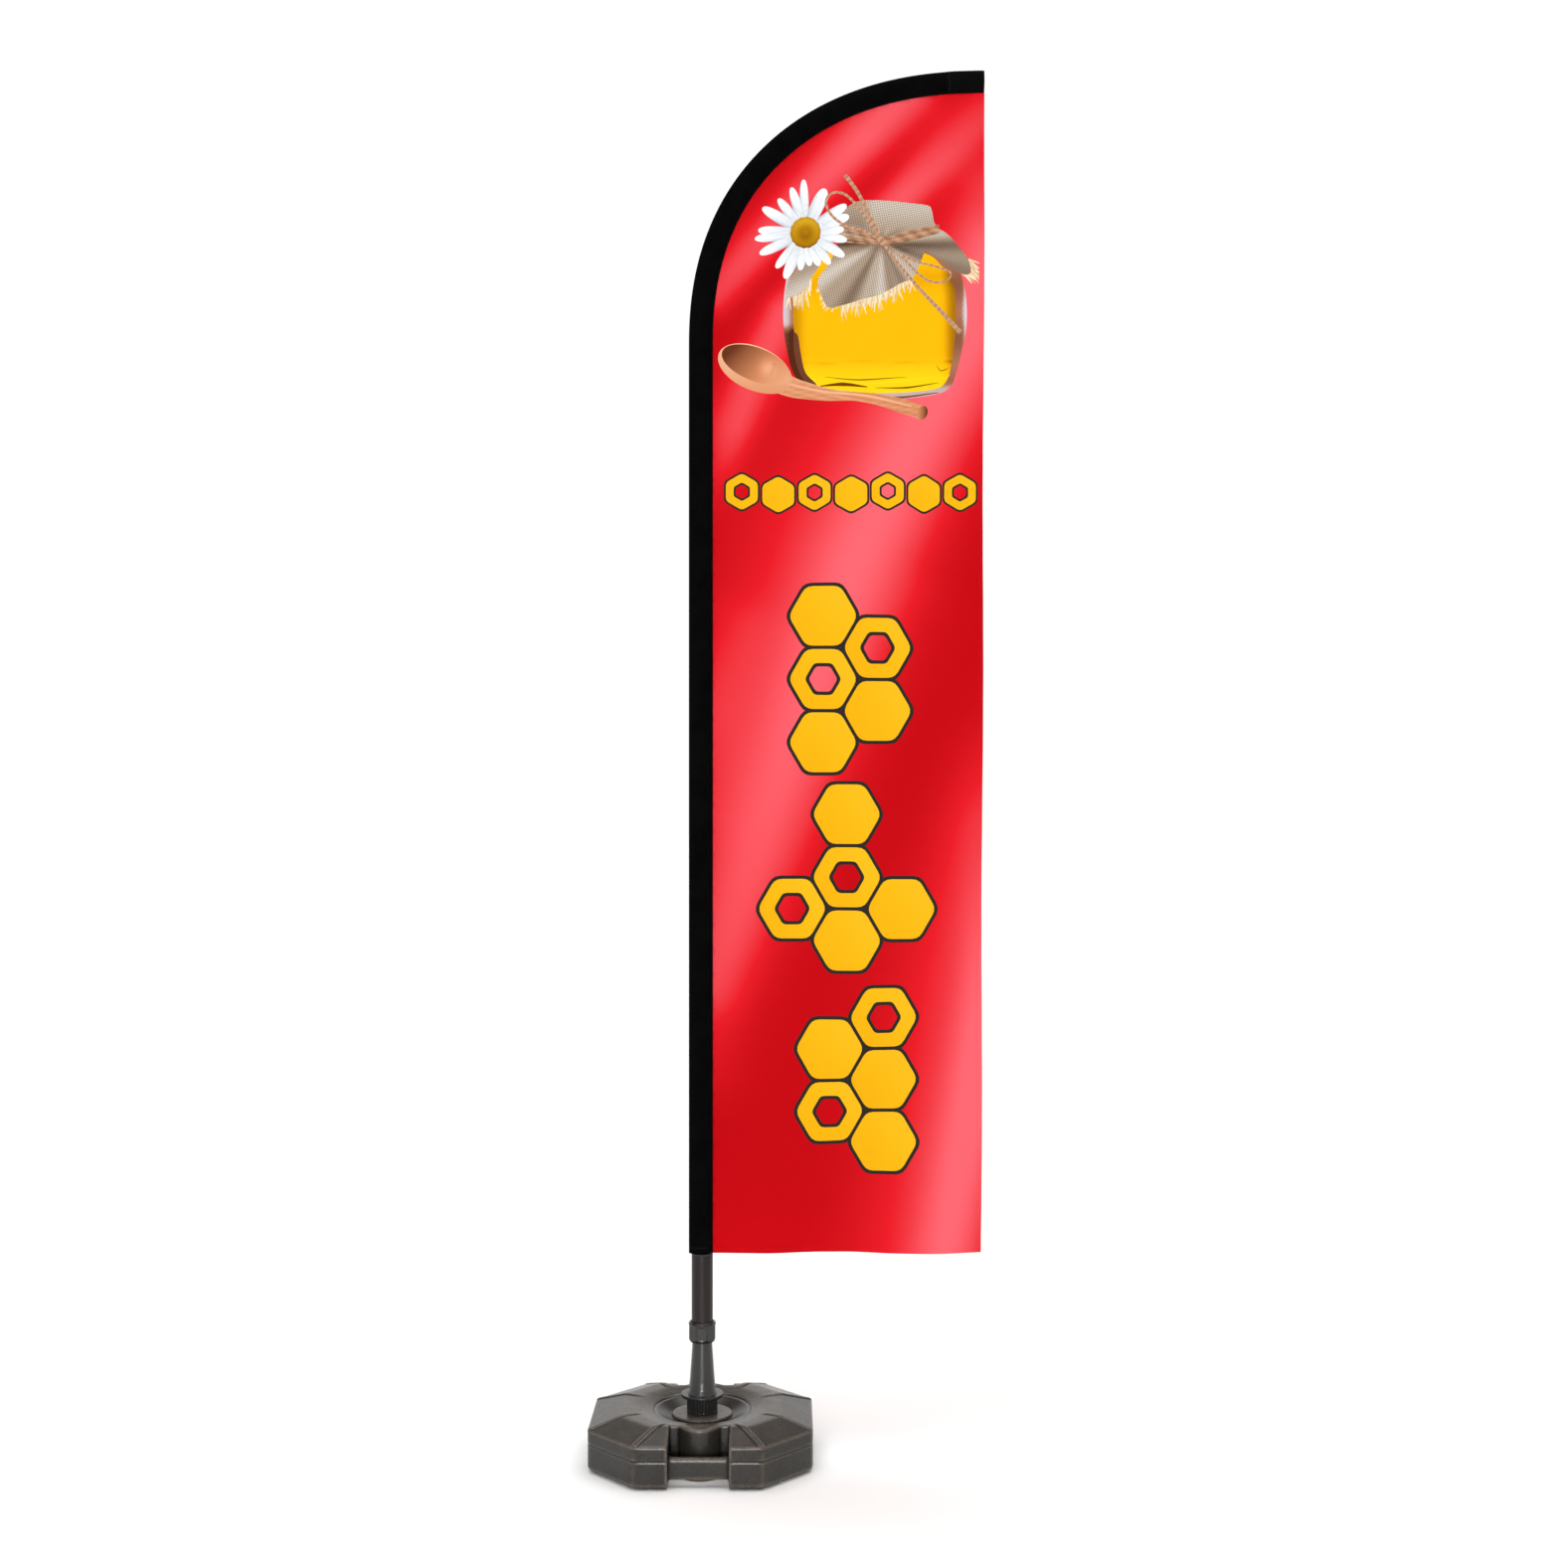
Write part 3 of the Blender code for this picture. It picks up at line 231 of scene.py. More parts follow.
FINISH = {
    "tank_plastic": plastic("tank_plastic", (26, 25, 22), (42, 39, 34), (150, 134, 120),
                            (0.22, 0.34), 700.0, 0.00004, Specular_IOR_Level=0.36),
    "holder_plastic": plastic("holder_plastic", (20, 20, 20), (34, 33, 31), (96, 90, 84),
                              (0.20, 0.30), 900.0, 0.00002),
    "black_aluminium": plain("black_aluminium", (20, 10, 9), (28, 16, 14), (0.34, 0.46), 1200.0,
                             0.00002, Specular_IOR_Level=0.3),
    "sleeve_fabric": cloth("sleeve_fabric", ((0.3, (3, 3, 3)), (0.7, (7, 7, 7))), 0.0008, 0.0003,
                           0.95, Specular_IOR_Level=0.04),
    "webbing": cloth("webbing", ((0.3, (5, 5, 5)), (0.7, (10, 10, 10))), 0.0016, 0.0006, 0.95,
                     Specular_IOR_Level=0.05),
    "thread": plain("thread", (24, 24, 24), (46, 46, 46), (0.5, 0.7), 3000.0, 0.0001),
    "red_thread": plain("red_thread", (176, 6, 14), (222, 30, 40), (0.5, 0.7), 3000.0, 0.0001),
    "rubber": plain("rubber", (26, 26, 26), (38, 37, 36), (0.7, 0.9), 700.0, 0.00006),
    "steel": plain("steel", (150, 152, 156), (196, 198, 200), (0.22, 0.4), 900.0, 0.00001,
                   (1, 1, 12), Metallic=1.0),
    "aluminium": plain("aluminium", (170, 172, 174), (206, 208, 210), (0.25, 0.42), 800.0,
                       0.00001, (12, 12, 1), Metallic=1.0),
    "fibreglass": plain("fibreglass", (48, 48, 42), (72, 72, 62), (0.3, 0.5), 1000.0, 0.00002,
                        (10, 10, 1)),
    "nylon": plain("nylon", (30, 30, 31), (46, 46, 47), (0.4, 0.6), 900.0, 0.00003),
    "water": plain("water", (150, 190, 200), (186, 214, 220), (0.03, 0.08), 20.0, 0.0005,
                   Transmission_Weight=0.9, IOR=1.33),
}

# ---------------------------------------------------------------- mesh tools


def link(name, data):
    made = bpy.data.objects.new(name, data)
    bpy.context.scene.collection.objects.link(made)
    return made


def declare(name, mesh, body, hides):
    """A piece that rides on a body, in place of the CAD nodes in hides."""
    piece = link(name, mesh)
    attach(piece, body)
    if hides:
        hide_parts(*hides)
    return piece


def place(name, points, faces, body, slot, hides=(), crease=40.0, material=None, values=None):
    """A piece from points and faces. values holds a number for each point, by attribute name."""
    mesh = bpy.data.meshes.new(name)
    mesh.from_pydata([tuple(map(float, p)) for p in points], [],
                     [tuple(map(int, f)) for f in faces])
    mesh.materials.append(material or FINISH[slot])
    for key, numbers in (values or {}).items():
        made = mesh.attributes.new(key, "FLOAT", "POINT")
        made.data.foreach_set("value", np.asarray(numbers, dtype=np.float32))
    bm = bmesh.new()
    bm.from_mesh(mesh)
    bmesh.ops.remove_doubles(bm, verts=bm.verts, dist=1e-7)
    bmesh.ops.recalc_face_normals(bm, faces=bm.faces)
    bm.to_mesh(mesh)
    bm.free()
    mesh.shade_smooth()
    if crease:
        mesh.set_sharp_from_angle(angle=math.radians(crease))
    return declare(name, mesh, body, hides)


def grid_faces(rows, columns, wrap_rows=False):
    """Quads between closed rows of points, all with the same number of points."""
    r = np.arange(rows if wrap_rows else rows - 1)[:, None]
    c = np.arange(columns)[None, :]
    r2, c2 = (r + 1) % rows, (c + 1) % columns
    corners = [r * columns + c, r * columns + c2, r2 * columns + c2, r2 * columns + c]
    return np.stack([a + 0 * (r + c) for a in corners], -1).reshape(-1, 4)


def loft(name, rows, slot, hides=(), crease=50.0, **more):
    """A skin over closed sections in a row, capped at both ends, on the flag's body."""
    count, size = rows.shape[:2]
    faces = [tuple(f) for f in grid_faces(count, size)]
    faces += [tuple(range(size)), tuple(range((count - 1) * size, count * size))]
    return place(name, rows.reshape(-1, 3), faces, "flag", slot, hides, crease, **more)


def rounded(points, radius, steps=3):
    """A closed outline with each corner rounded off, by at most radius along each side."""
    points = [np.array(p, float) for p in points]
    out = []
    for i, corner in enumerate(points):
        arms = [points[i - 1] - corner, points[(i + 1) % len(points)] - corner]
        longs = [np.linalg.norm(arm) for arm in arms]
        cut = min(radius, *[long / 2.1 for long in longs])
        back, ahead = [arm / max(long, 1e-9) * cut for arm, long in zip(arms, longs)]
        for t in np.arange(steps + 1) / steps:
            out.append(corner + back * (1 - t) ** 2 + ahead * t ** 2)
    return out


def finer(points, step):
    """A closed outline with extra points, so that none are further apart than step."""
    out = []
    for a, b in zip(points, points[1:] + points[:1]):
        count = max(1, math.ceil(np.linalg.norm(np.subtract(b, a)) / step))
        out += [np.add(a, np.subtract(b, a) * (k / count)) for k in range(count)]
    return out


def spun(name, profile, body, slot, hides, sides=128, shape=None, crease=40.0, lay=None):
    """A closed (radius, height) outline turned round Z. shape(angle, radius, height) is added to
    the radius. Points on the axis are merged. lay moves the points to their place."""
    profile = np.array(profile)
    angle = np.linspace(0, TAU, sides, endpoint=False)[:, None]
    radius = np.maximum(profile[None, :, 0], 0.0) + 0 * angle
    height = profile[None, :, 1] + 0 * angle
    if shape:
        radius = radius + shape(angle, radius, height)
    points = np.stack([radius * np.cos(angle), radius * np.sin(angle), height], -1).reshape(-1, 3)
    # a middling curvature value, so no painted edge highlight and no painted crease shade
    return place(name, lay(points) if lay else points,
                 grid_faces(sides, len(profile), wrap_rows=True), body, slot, hides, crease,
                 values={"wear_and_shade": np.full(len(points), 0.5)})


# ---------------------------------------------------------------- the tank


def soft_max(k, *fields):
    top = np.maximum.reduce(fields)
    return top + k * np.log(sum(np.exp((f - top) / k) for f in fields))


def soft_min(k, *fields):
    return -soft_max(k, *[-f for f in fields])


HALF_X, HALF_Y, DECK_Z = TANK_HIGH
RIM_Z = DECK_Z - 0.025
SLOPE_RUN = 0.080  # how far the sloping facets run in from the walls
FRONT_HALF, SIDE_HALF = 0.158, 0.125  # half the front and side walls' widths
FOOT_CHAMFER = 0.012
DISH_Z, DISH_R = DECK_Z - 0.028, 0.082
LIP_Z, LIP_R = DECK_Z - 0.009, 0.121
DISH_EDGE_R = 0.168
BOSS_Z, BOSS_R, BOSS_DEPTH = GASKET_LOW.z - GAP, 0.076, 0.020
MOUTH_R, MOUTH_FLOOR_Z = 0.0353, 0.070
HANDLE_HALF, HANDLE_DEPTH = 0.074, 0.090
BAR_Y, BAR_Z, BAR_THICK, BAR_TALL = HALF_Y - 0.031, 0.046, 0.022, 0.052
BULGE_Y, BULGE_R = HALF_Y - 0.125, 0.060
PARTING_Z, PARTING_RISE, PARTING_HALF = 0.071, 0.0012, 0.0022
RIB_HALF, RIB_RISE, RIB_DROP = 0.0075, 0.0022, 0.006
DIAGONAL = Vector((HALF_Y - SIDE_HALF, HALF_X - FRONT_HALF)).normalized()
DIAGONAL_REACH = DIAGONAL.dot(Vector((FRONT_HALF, HALF_Y)))
SLOPE = Vector((SLOPE_RUN, DECK_Z - RIM_Z)).normalized()
# the last is how far the curvature is sampled that pales edges (wear and painted highlight) and
# darkens creases (painted shade)
SKIN_CELL, SKIN_MARGIN, WEAR_AND_SHADE_REACH = 0.0030, 0.006, 0.0035


def tank_form(x, y, z, lift):
    """Distance outside the tank's eight-sided form, with its top raised by lift."""
    sides = [np.abs(x) - HALF_X, np.abs(y) - HALF_Y,
             np.abs(x) * DIAGONAL.x + np.abs(y) * DIAGONAL.y - DIAGONAL_REACH]
    seam = PARTING_RISE * np.exp(-((z - PARTING_Z) / PARTING_HALF) ** 2)
    top = [(z - RIM_Z - lift) * SLOPE.x + s * SLOPE.y for s in sides]
    foot = [(FOOT_CHAMFER - z + s) * math.sqrt(0.5) for s in sides]
    walls = soft_max(0.0032, *sides) + seam
    facets = soft_max(0.0011, *top, z - DECK_Z - lift)
    return soft_max(0.0016, walls, facets, soft_max(0.002, *foot), -z)


def tank_field(x, y, z):
    """Distance outside the tank's skin."""
    ax, ay, r = np.abs(x), np.abs(y), np.hypot(x, y)
    ribs = []
    for end in (Vector((HALF_X, SIDE_HALF)), Vector((FRONT_HALF, HALF_Y))):
        side = np.abs(ax * end.y - ay * end.x) / end.length
        along = (ax * end.x + ay * end.y) / end.length
        ribs.append(soft_max(0.001, side - RIB_HALF, DISH_EDGE_R - 0.004 - along,
                             RIM_Z - RIB_DROP - z))
    raised = soft_max(0.001, tank_form(x, y, z, RIB_RISE), np.minimum.reduce(ribs))
    body = soft_min(0.001, tank_form(x, y, z, 0.0), raised)
    lip = soft_min(0.0012, (DISH_Z + (r - DISH_R) * (LIP_Z - DISH_Z) / (LIP_R - DISH_R)),
                   (LIP_Z + (r - LIP_R) * (DECK_Z - LIP_Z) / (DISH_EDGE_R - LIP_R)))
    step = 0.0022 * np.exp(-((r - LIP_R - 0.002) / 0.0035) ** 2)
    floor = soft_max(0.0012, lip, DISH_Z + 0 * r) - step
    solid = soft_max(0.001, body, (z - floor) * 0.95)
    boss = soft_max(0.0012, r - BOSS_R, z - BOSS_Z, DISH_Z - BOSS_DEPTH - z)
    solid = soft_min(0.0014, solid, boss)
    opening = soft_max(0.0015, ax - HANDLE_HALF, HALF_Y - HANDLE_DEPTH - ay)
    bar = soft_max(0.003, np.abs(ay - BAR_Y) - BAR_THICK / 2, np.abs(z - BAR_Z) - BAR_TALL / 2)
    bulge = np.hypot(x, ay - BULGE_Y) - BULGE_R
    solid = soft_max(0.0018, solid, -soft_max(0.0025, opening, -bar, -bulge))
    return soft_max(0.0006, solid, -soft_max(0.0008, r - MOUTH_R, MOUTH_FLOOR_Z - z))


def slope_of(field, p, h=0.0002):
    """The field's value and gradient at each point."""
    grad = np.stack([(field(*(p + d).T) - field(*(p - d).T)) / (2 * h) for d in np.eye(3) * h], -1)
    return field(*p.T), grad


def skin(field, low, high, cell):
    """Points and four-sided faces on the surface where the field is zero."""
    axes = [a + cell * np.arange(math.ceil((b - a) / cell) + 1) for a, b in zip(low, high)]
    inside = field(*np.meshgrid(*axes, indexing="ij")) < 0
    n = np.array(inside.shape)
    count = np.zeros(n - 1, int)
    for i, j, k in np.ndindex(2, 2, 2):
        count += inside[i:n[0] - 1 + i, j:n[1] - 1 + j, k:n[2] - 1 + k]
    mixed = (count > 0) & (count < 8)
    index = np.full(mixed.shape, -1)
    index[mixed] = np.arange(mixed.sum())
    start = np.argwhere(mixed) * cell + np.array(low) + cell / 2
    faces = []
    for axis in range(3):
        others = [a for a in range(3) if a != axis]
        a, b = np.take(inside, range(n[axis] - 1), axis), np.take(inside, range(1, n[axis]), axis)
        spots = np.argwhere(a != b)
        spots = spots[(spots[:, others] > 0).all(1)]
        quad = []
        for back in ((1, 1), (0, 1), (0, 0), (1, 0)):
            at = spots.copy()
            at[:, others] -= back
            quad.append(index[tuple(at.T)])
        faces.append(np.stack(quad, -1))
    faces = np.concatenate(faces)
    points = start.copy()
    edges = np.concatenate([faces[:, [k, (k + 1) % 4]] for k in range(4)])
    for turn in range(7):
        value, grad = slope_of(field, points)
        points -= grad * (value / np.maximum((grad ** 2).sum(1), 0.05))[:, None]
        if 1 < turn < 5:
            total, times = np.zeros_like(points), np.zeros(len(points))
            for e, f in (edges.T, edges.T[::-1]):
                np.add.at(total, e, points[f])
                np.add.at(times, e, 1)
            points = points * 0.5 + total / times[:, None] * 0.5
        points = np.clip(points, start - cell, start + cell)
    return points, faces


def make_tank():
    wide, deep = HALF_X + SKIN_MARGIN, HALF_Y + SKIN_MARGIN
    points, faces = skin(tank_field, (-wide, -deep, -SKIN_MARGIN),
                         (wide, deep, DECK_Z + SKIN_MARGIN), SKIN_CELL)
    points[:, 2] = np.maximum(points[:, 2], 0.0)
    # curvature: paler on edges (wear and a painted highlight), darker in creases (painted shade)
    bend, value = np.zeros(len(points)), tank_field(*points.T)
    for d in np.eye(3) * WEAR_AND_SHADE_REACH:
        bend += tank_field(*(points + d).T) + tank_field(*(points - d).T) - 2 * value
    wear_and_shade = np.clip(0.5 + bend / WEAR_AND_SHADE_REACH * 1.1, 0.0, 1.0)
    place("tank_shell", points, faces, "base", "tank_plastic", ["tank"], 0.0,
          values={"wear_and_shade": wear_and_shade})


# ---------------------------------------------------------------- holder and nut

NECK_R = 0.0245
BORE_R = SPINDLE_R + GAP
SPIGOT_R = 0.035
COLLAR_R = SPIGOT_R + 0.004
COLLAR_Z = GASKET_HIGH.z + GAP
COLLAR_TOP_Z = COLLAR_Z + 0.0377
FLANGE_R = HOLDER_HIGH.x
FLANGE_TOP_Z = COLLAR_TOP_Z + 0.008
THREAD_PITCH, THREAD_DEPTH = 0.006, 0.0011
RIB_COUNT, RIB_DEPTH = 28, 0.0013
NUT_WEB_Z, NUT_WEB = COLLET_HIGH.z + GAP, 0.0032
RUN = 0.0015  # round the turning tube and the spindle, inside the nut


def holder_shape(angle, radius, height):
    """The thread on the spigot, the ribs round the grip and the mould seams up the cone."""
    def between(low, high, inset):
        return (radius > BORE_R + 0.006) & (height > low + inset) & (height < high - inset)
    turns = (height / THREAD_PITCH - angle / TAU) % 1.0
    groove = 1 - np.clip(1.6 - np.abs(turns - 0.5) * 4, 0, 1)
    thread = np.where(between(HOLDER_LOW.z, GASKET_LOW.z, 0.002), -THREAD_DEPTH * groove, 0)
    wave = (0.5 - 0.5 * np.cos(angle * RIB_COUNT)) ** 2
    ribs = np.where(between(COLLAR_Z, COLLAR_TOP_Z, 0.003), -RIB_DEPTH * wave, 0)
    line = 0.0004 * np.exp(-(np.sin(angle) / 0.03) ** 2)
    return thread + ribs + np.where(between(FLANGE_TOP_Z + 0.001, NUT_LOW.z, 0.002), line, 0)


def make_holder():
    seat_z = HOLDER_HIGH.z
    outline = [
        (0.0, HOLDER_LOW.z), (SPIGOT_R, HOLDER_LOW.z), (SPIGOT_R, COLLAR_Z), (COLLAR_R, COLLAR_Z),
        (COLLAR_R, COLLAR_TOP_Z), (FLANGE_R, COLLAR_TOP_Z), (FLANGE_R, FLANGE_TOP_Z),
        (NECK_R + 0.0130, FLANGE_TOP_Z), (NECK_R + 0.0092, FLANGE_TOP_Z + 0.012),
        (NECK_R + 0.0070, FLANGE_TOP_Z + 0.031), (NECK_R, NUT_LOW.z - GAP), (NECK_R, seat_z),
        (COLLET_HIGH.x + 2 * GAP, seat_z), (BORE_R + 3 * GAP, COLLET_LOW.z - GAP),
        (BORE_R, COLLET_LOW.z - 2 * GAP), (BORE_R, SPINDLE_FOOT_Z - GAP),
        (0.0, SPINDLE_FOOT_Z - GAP),
    ]
    spun("holder_body", finer(rounded(outline, 0.0012), 0.0022), "neck", "holder_plastic",
         ["pole_holder"], 168, holder_shape, 50.0)


def nut_shape(angle, radius, height):
    """Eight flat faces on the outside, with soft corners, between the two rims."""
    body = np.clip((height - NUT_LOW.z - 0.004) / 0.004, 0, 1)
    body = body * np.clip((NUT_HIGH.z - 0.006 - height) / 0.004, 0, 1)
    facet = np.cos(((angle + math.pi / 8) % (TAU / 8)) - TAU / 16)
    flat = NUT_HIGH.x * 0.945 / np.maximum(facet, 0.1)
    cut = np.minimum(radius, flat) - radius
    return np.where(radius > TUBE_HIGH.x + 0.003, body * cut, 0)


def make_nut():
    cup_r, web_top = TUBE_HIGH.x + RUN, NUT_WEB_Z + NUT_WEB
    outline = [
        (NECK_R + GAP, NUT_LOW.z), (NUT_HIGH.x - 0.0042, NUT_LOW.z),
        (NUT_HIGH.x, NUT_LOW.z + 0.0085), (NUT_HIGH.x, NUT_HIGH.z - 0.0045),
        (NUT_HIGH.x - 0.0035, NUT_HIGH.z), (cup_r, NUT_HIGH.z), (cup_r, web_top),
        (SPINDLE_R + RUN, web_top), (SPINDLE_R + RUN, NUT_WEB_Z), (NECK_R + GAP, NUT_WEB_Z),
    ]
    spun("nut_body", finer(rounded(outline, 0.0016), 0.0022), "nut", "holder_plastic",
         ["clamp_nut"], 128, nut_shape, 50.0)


# ---------------------------------------------------------------- turning tube, reducer and screw

MAST_R = (MAST_HIGH.x - MAST_LOW.x) / 2
NOSE_WALL = 0.0027
REDUCER_SKIRT = 0.003
REDUCER_FLANGE = 0.003
CAP_CLEAR = 0.0047  # from the spindle's cap up to the reducer's web


def make_tube():
    ring_low, ring_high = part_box("tube_retaining_ring")
    bore, groove = RACE_R + GAP, ring_high.x + GAP
    outline = [
        (bore, TUBE_LOW.z), (TUBE_HIGH.x, TUBE_LOW.z), (TUBE_HIGH.x, TUBE_HIGH.z),
        (bore, TUBE_HIGH.z), (bore, ring_high.z + GAP), (groove, ring_high.z + GAP),
        (groove, ring_low.z - GAP), (bore, ring_low.z - GAP),
    ]
    spun("tube_body", finer(rounded(outline, 0.0005), 0.02), "flag", "black_aluminium",
         ["turning_tube"])


def make_reducer():
    low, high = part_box("mast_reducer")
    web_low, web_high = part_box("spindle_cap")[1].z + CAP_CLEAR, MAST_LOW.z - GAP
    skirt, socket = RACE_R - REDUCER_SKIRT, MAST_R + GAP
    seat, nose = TUBE_HIGH.z + GAP, socket + NOSE_WALL
    outline = [
        (0.0, web_low), (skirt, web_low), (skirt, low.z), (RACE_R, low.z), (RACE_R, seat),
        (TUBE_HIGH.x, seat), (TUBE_HIGH.x, seat + REDUCER_FLANGE), (nose, seat + REDUCER_FLANGE),
        (nose, high.z), (socket, high.z), (socket, web_high), (0.0, web_high),
    ]
    spun("reducer_body", finer(rounded(outline, 0.0005), 0.02), "flag", "nylon",
         ["mast_reducer"])


def make_screw():
    """A button-head screw with a six-sided socket."""
    head, shank, top = (SCREW_HIGH.z - SCREW_LOW.z) / 2, 0.003, SCREW_HIGH.y
    seat = top - 0.003
    outline = [
        (0.0, SCREW_LOW.y), (shank, SCREW_LOW.y), (shank, seat), (head, seat),
        (head, seat + 0.0010), (head * 0.86, top - 0.0006), (head * 0.55, top), (0.0020, top),
        (0.0020, top - 0.0016), (0.0, top - 0.0020),
    ]

    def socket(angle, radius, height):
        inside = (height > seat + 0.0005) & (radius < 0.0022)
        side = np.cos((angle % (TAU / 6)) - TAU / 12)
        return np.where(inside, radius * (0.93 / side - 1), 0)
    spun("tab_screw_steel", rounded(outline, 0.0004), "flag", "steel", ["tab_screw"], 48, socket,
         lay=lambda p: np.stack([p[:, 0], p[:, 2], SCREW_Z - p[:, 1]], -1))


# ---------------------------------------------------------------- sleeve

STRAIGHT_LENGTH = 2.302  # of the sleeve, up to where it starts to bend
CURVE_POWER = 2.25
FOOT_Z, TOP_Z = SLEEVE_LOW.z, SLEEVE_HIGH.z
CURVE_Z = FOOT_Z + STRAIGHT_LENGTH
LEFT_X, RIGHT_X = SLEEVE_LOW.x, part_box("sleeve_end_patch")[1].x
SLEEVE_WIDTH, SLEEVE_TIP_WIDTH = 0.061, 0.056
POLE_INSET, POLE_TIP_INSET = -LEFT_X, 0.028  # from the outer edge in to the pole
SLACK = 0.0022
GIRTHS = ((0.0, SLEEVE_HIGH.y),) + tuple(  # the sleeve must clear the rings on the pole
    (share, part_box(ring)[1].y + SLACK) for share, ring in (
        (0.290, "lower_ferrule"), (0.568, "middle_ferrule"), (0.736, "upper_ferrule"),
        (1.0, "tip_cap")))
FLANGE = 0.010  # where the two layers of the sleeve are sewn flat on each other
CLOTH, SLEEVE_CLOTH = 0.0004, 0.0007


def leading_edge(count_straight, count_curve):
    """Stations up the sleeve's outer edge: points (x, z), inward normals, and shares of the
    length and of the curved part."""
    z = np.linspace(FOOT_Z, CURVE_Z, count_straight, endpoint=False)
    straight = np.stack([np.full_like(z, LEFT_X), z], -1)
    angle, power = np.linspace(0, 1, count_curve) * math.pi / 2, 2 / CURVE_POWER
    x = RIGHT_X - (RIGHT_X - LEFT_X) * np.maximum(np.cos(angle), 0.0) ** power
    curve = np.stack([x, CURVE_Z + (TOP_Z - CURVE_Z) * np.sin(angle) ** power], -1)
    points = np.concatenate([straight, curve])
    ahead = np.gradient(points, axis=0)
    normals = np.stack([ahead[:, 1], -ahead[:, 0]], -1)
    normals[:count_straight] = (1, 0)
    normals[-1] = (0, -1)
    normals /= np.linalg.norm(normals, axis=1)[:, None]
    gone = lengths_along(points)
    curved = np.clip((gone - STRAIGHT_LENGTH) / (gone[-1] - STRAIGHT_LENGTH), 0, 1)
    return points, normals, gone / gone[-1], curved, gone[-1]


def lengths_along(line):
    """How far along the line each of its points is."""
    return np.concatenate([[0], np.cumsum(np.linalg.norm(np.diff(line, axis=0), axis=1))])


EDGE, INWARD, ALONG, CURVED, EDGE_LENGTH = leading_edge(150, 170)
WIDTH = SLEEVE_WIDTH + (SLEEVE_TIP_WIDTH - SLEEVE_WIDTH) * CURVED
INSET = POLE_INSET + (POLE_TIP_INSET - POLE_INSET) * CURVED
DEPTH = np.interp(ALONG, *zip(*GIRTHS))


def across_sleeve(inset, count=22):
    """Points round the sleeve's section at every station, each (inward distance, depth)."""
    share = 0.5 - 0.5 * np.cos(np.linspace(0, math.pi, count))
    inward = inset + (WIDTH - inset)[:, None] * share[None, :]
    pole, end = INSET[:, None], (WIDTH - FLANGE * 0.55)[:, None]
    outer = np.clip((pole - inward) / pole, 0, 1)
    inner = np.clip((inward - pole) / (end - pole), 0, 1)
    power = 2.0 - 0.45 * ALONG[:, None]
    full = np.where(inward < pole, np.sqrt(1 - outer ** 2), (1 - inner ** power) ** (1 / power))
    thin = SLEEVE_CLOTH + CLOTH
    depth = np.hypot(full * DEPTH[:, None], thin) - inset
    depth[:, 0] = 0.0
    gone = ALONG[:, None] * EDGE_LENGTH
    slack = np.clip(full * 1.4, 0, 1) * (1 - full ** 4)
    pucker = np.sin(gone * TAU / 0.043 + 2.2 * np.sin(gone * 5.1))
    pucker = pucker * np.exp(-(WIDTH[:, None] - inward) / 0.014)
    drag = np.sin((gone * 0.85 + inward * 2.4) * TAU / 0.19 + 1.7 * np.sin(gone * 2.3))
    depth += slack * (0.0006 * pucker * (0.35 + 0.65 * CURVED[:, None]) + 0.0007 * drag)
    return inward, np.maximum(depth, thin - inset if inset == 0 else 0.0003)


def sleeve_points(inward, depth, side):
    spot = EDGE[:, None, :] + INWARD[:, None, :] * inward[:, :, None]
    return np.stack([spot[..., 0], side * depth, spot[..., 1]], -1)


def make_sleeve():
    loops = []
    for inset in (0.0, SLEEVE_CLOTH):
        section = across_sleeve(inset)
        front, back = sleeve_points(*section, -1.0), sleeve_points(*section, 1.0)
        loops.append(np.concatenate([front, back[:, :0:-1]], axis=1))
    rows = np.concatenate([loops[0], loops[1][::-1]])
    faces = grid_faces(len(rows), rows.shape[1], wrap_rows=True)
    return place("sleeve_cloth", rows.reshape(-1, 3), faces, "flag", "sleeve_fabric",
                 ["flag_sleeve"], 60.0)


# ---------------------------------------------------------------- flag panel

TUCK = 0.005  # how far the panel goes in between the sleeve's two layers
HEM = 0.013
FOLD_HEIGHT, FOLD_LENGTH, FOLD_LEAN, FOLD_EASE = 0.014, 0.42, math.radians(67.0), 0.30
MIDLINE = EDGE + INWARD * SLEEVE_WIDTH / 2


def nearest(x, z, line):
    """The distance from each place to the nearest point of a line."""
    near = np.full(np.shape(x), np.inf)
    for a, b in line:
        near = np.minimum(near, np.hypot(x - a, z - b))
    return near


def ease(low, high, value):
    t = np.clip((value - low) / (high - low), 0, 1)
    return t * t * (3 - 2 * t)


def fold_depth(x, z):
    """How far the cloth stands out of the flag's plane, towards +Y."""
    across = x * math.sin(FOLD_LEAN) - z * math.cos(FOLD_LEAN)
    fold = FOLD_HEIGHT * np.sin(TAU * across / FOLD_LENGTH)
    small = 0.0012 * np.sin(TAU * (x * 0.8 - z * 0.6) / 0.115 + 1.5 * np.sin(z * 4.0))
    return ease(0, FOLD_EASE, nearest(x, z, MIDLINE[::3])) * (fold + small)
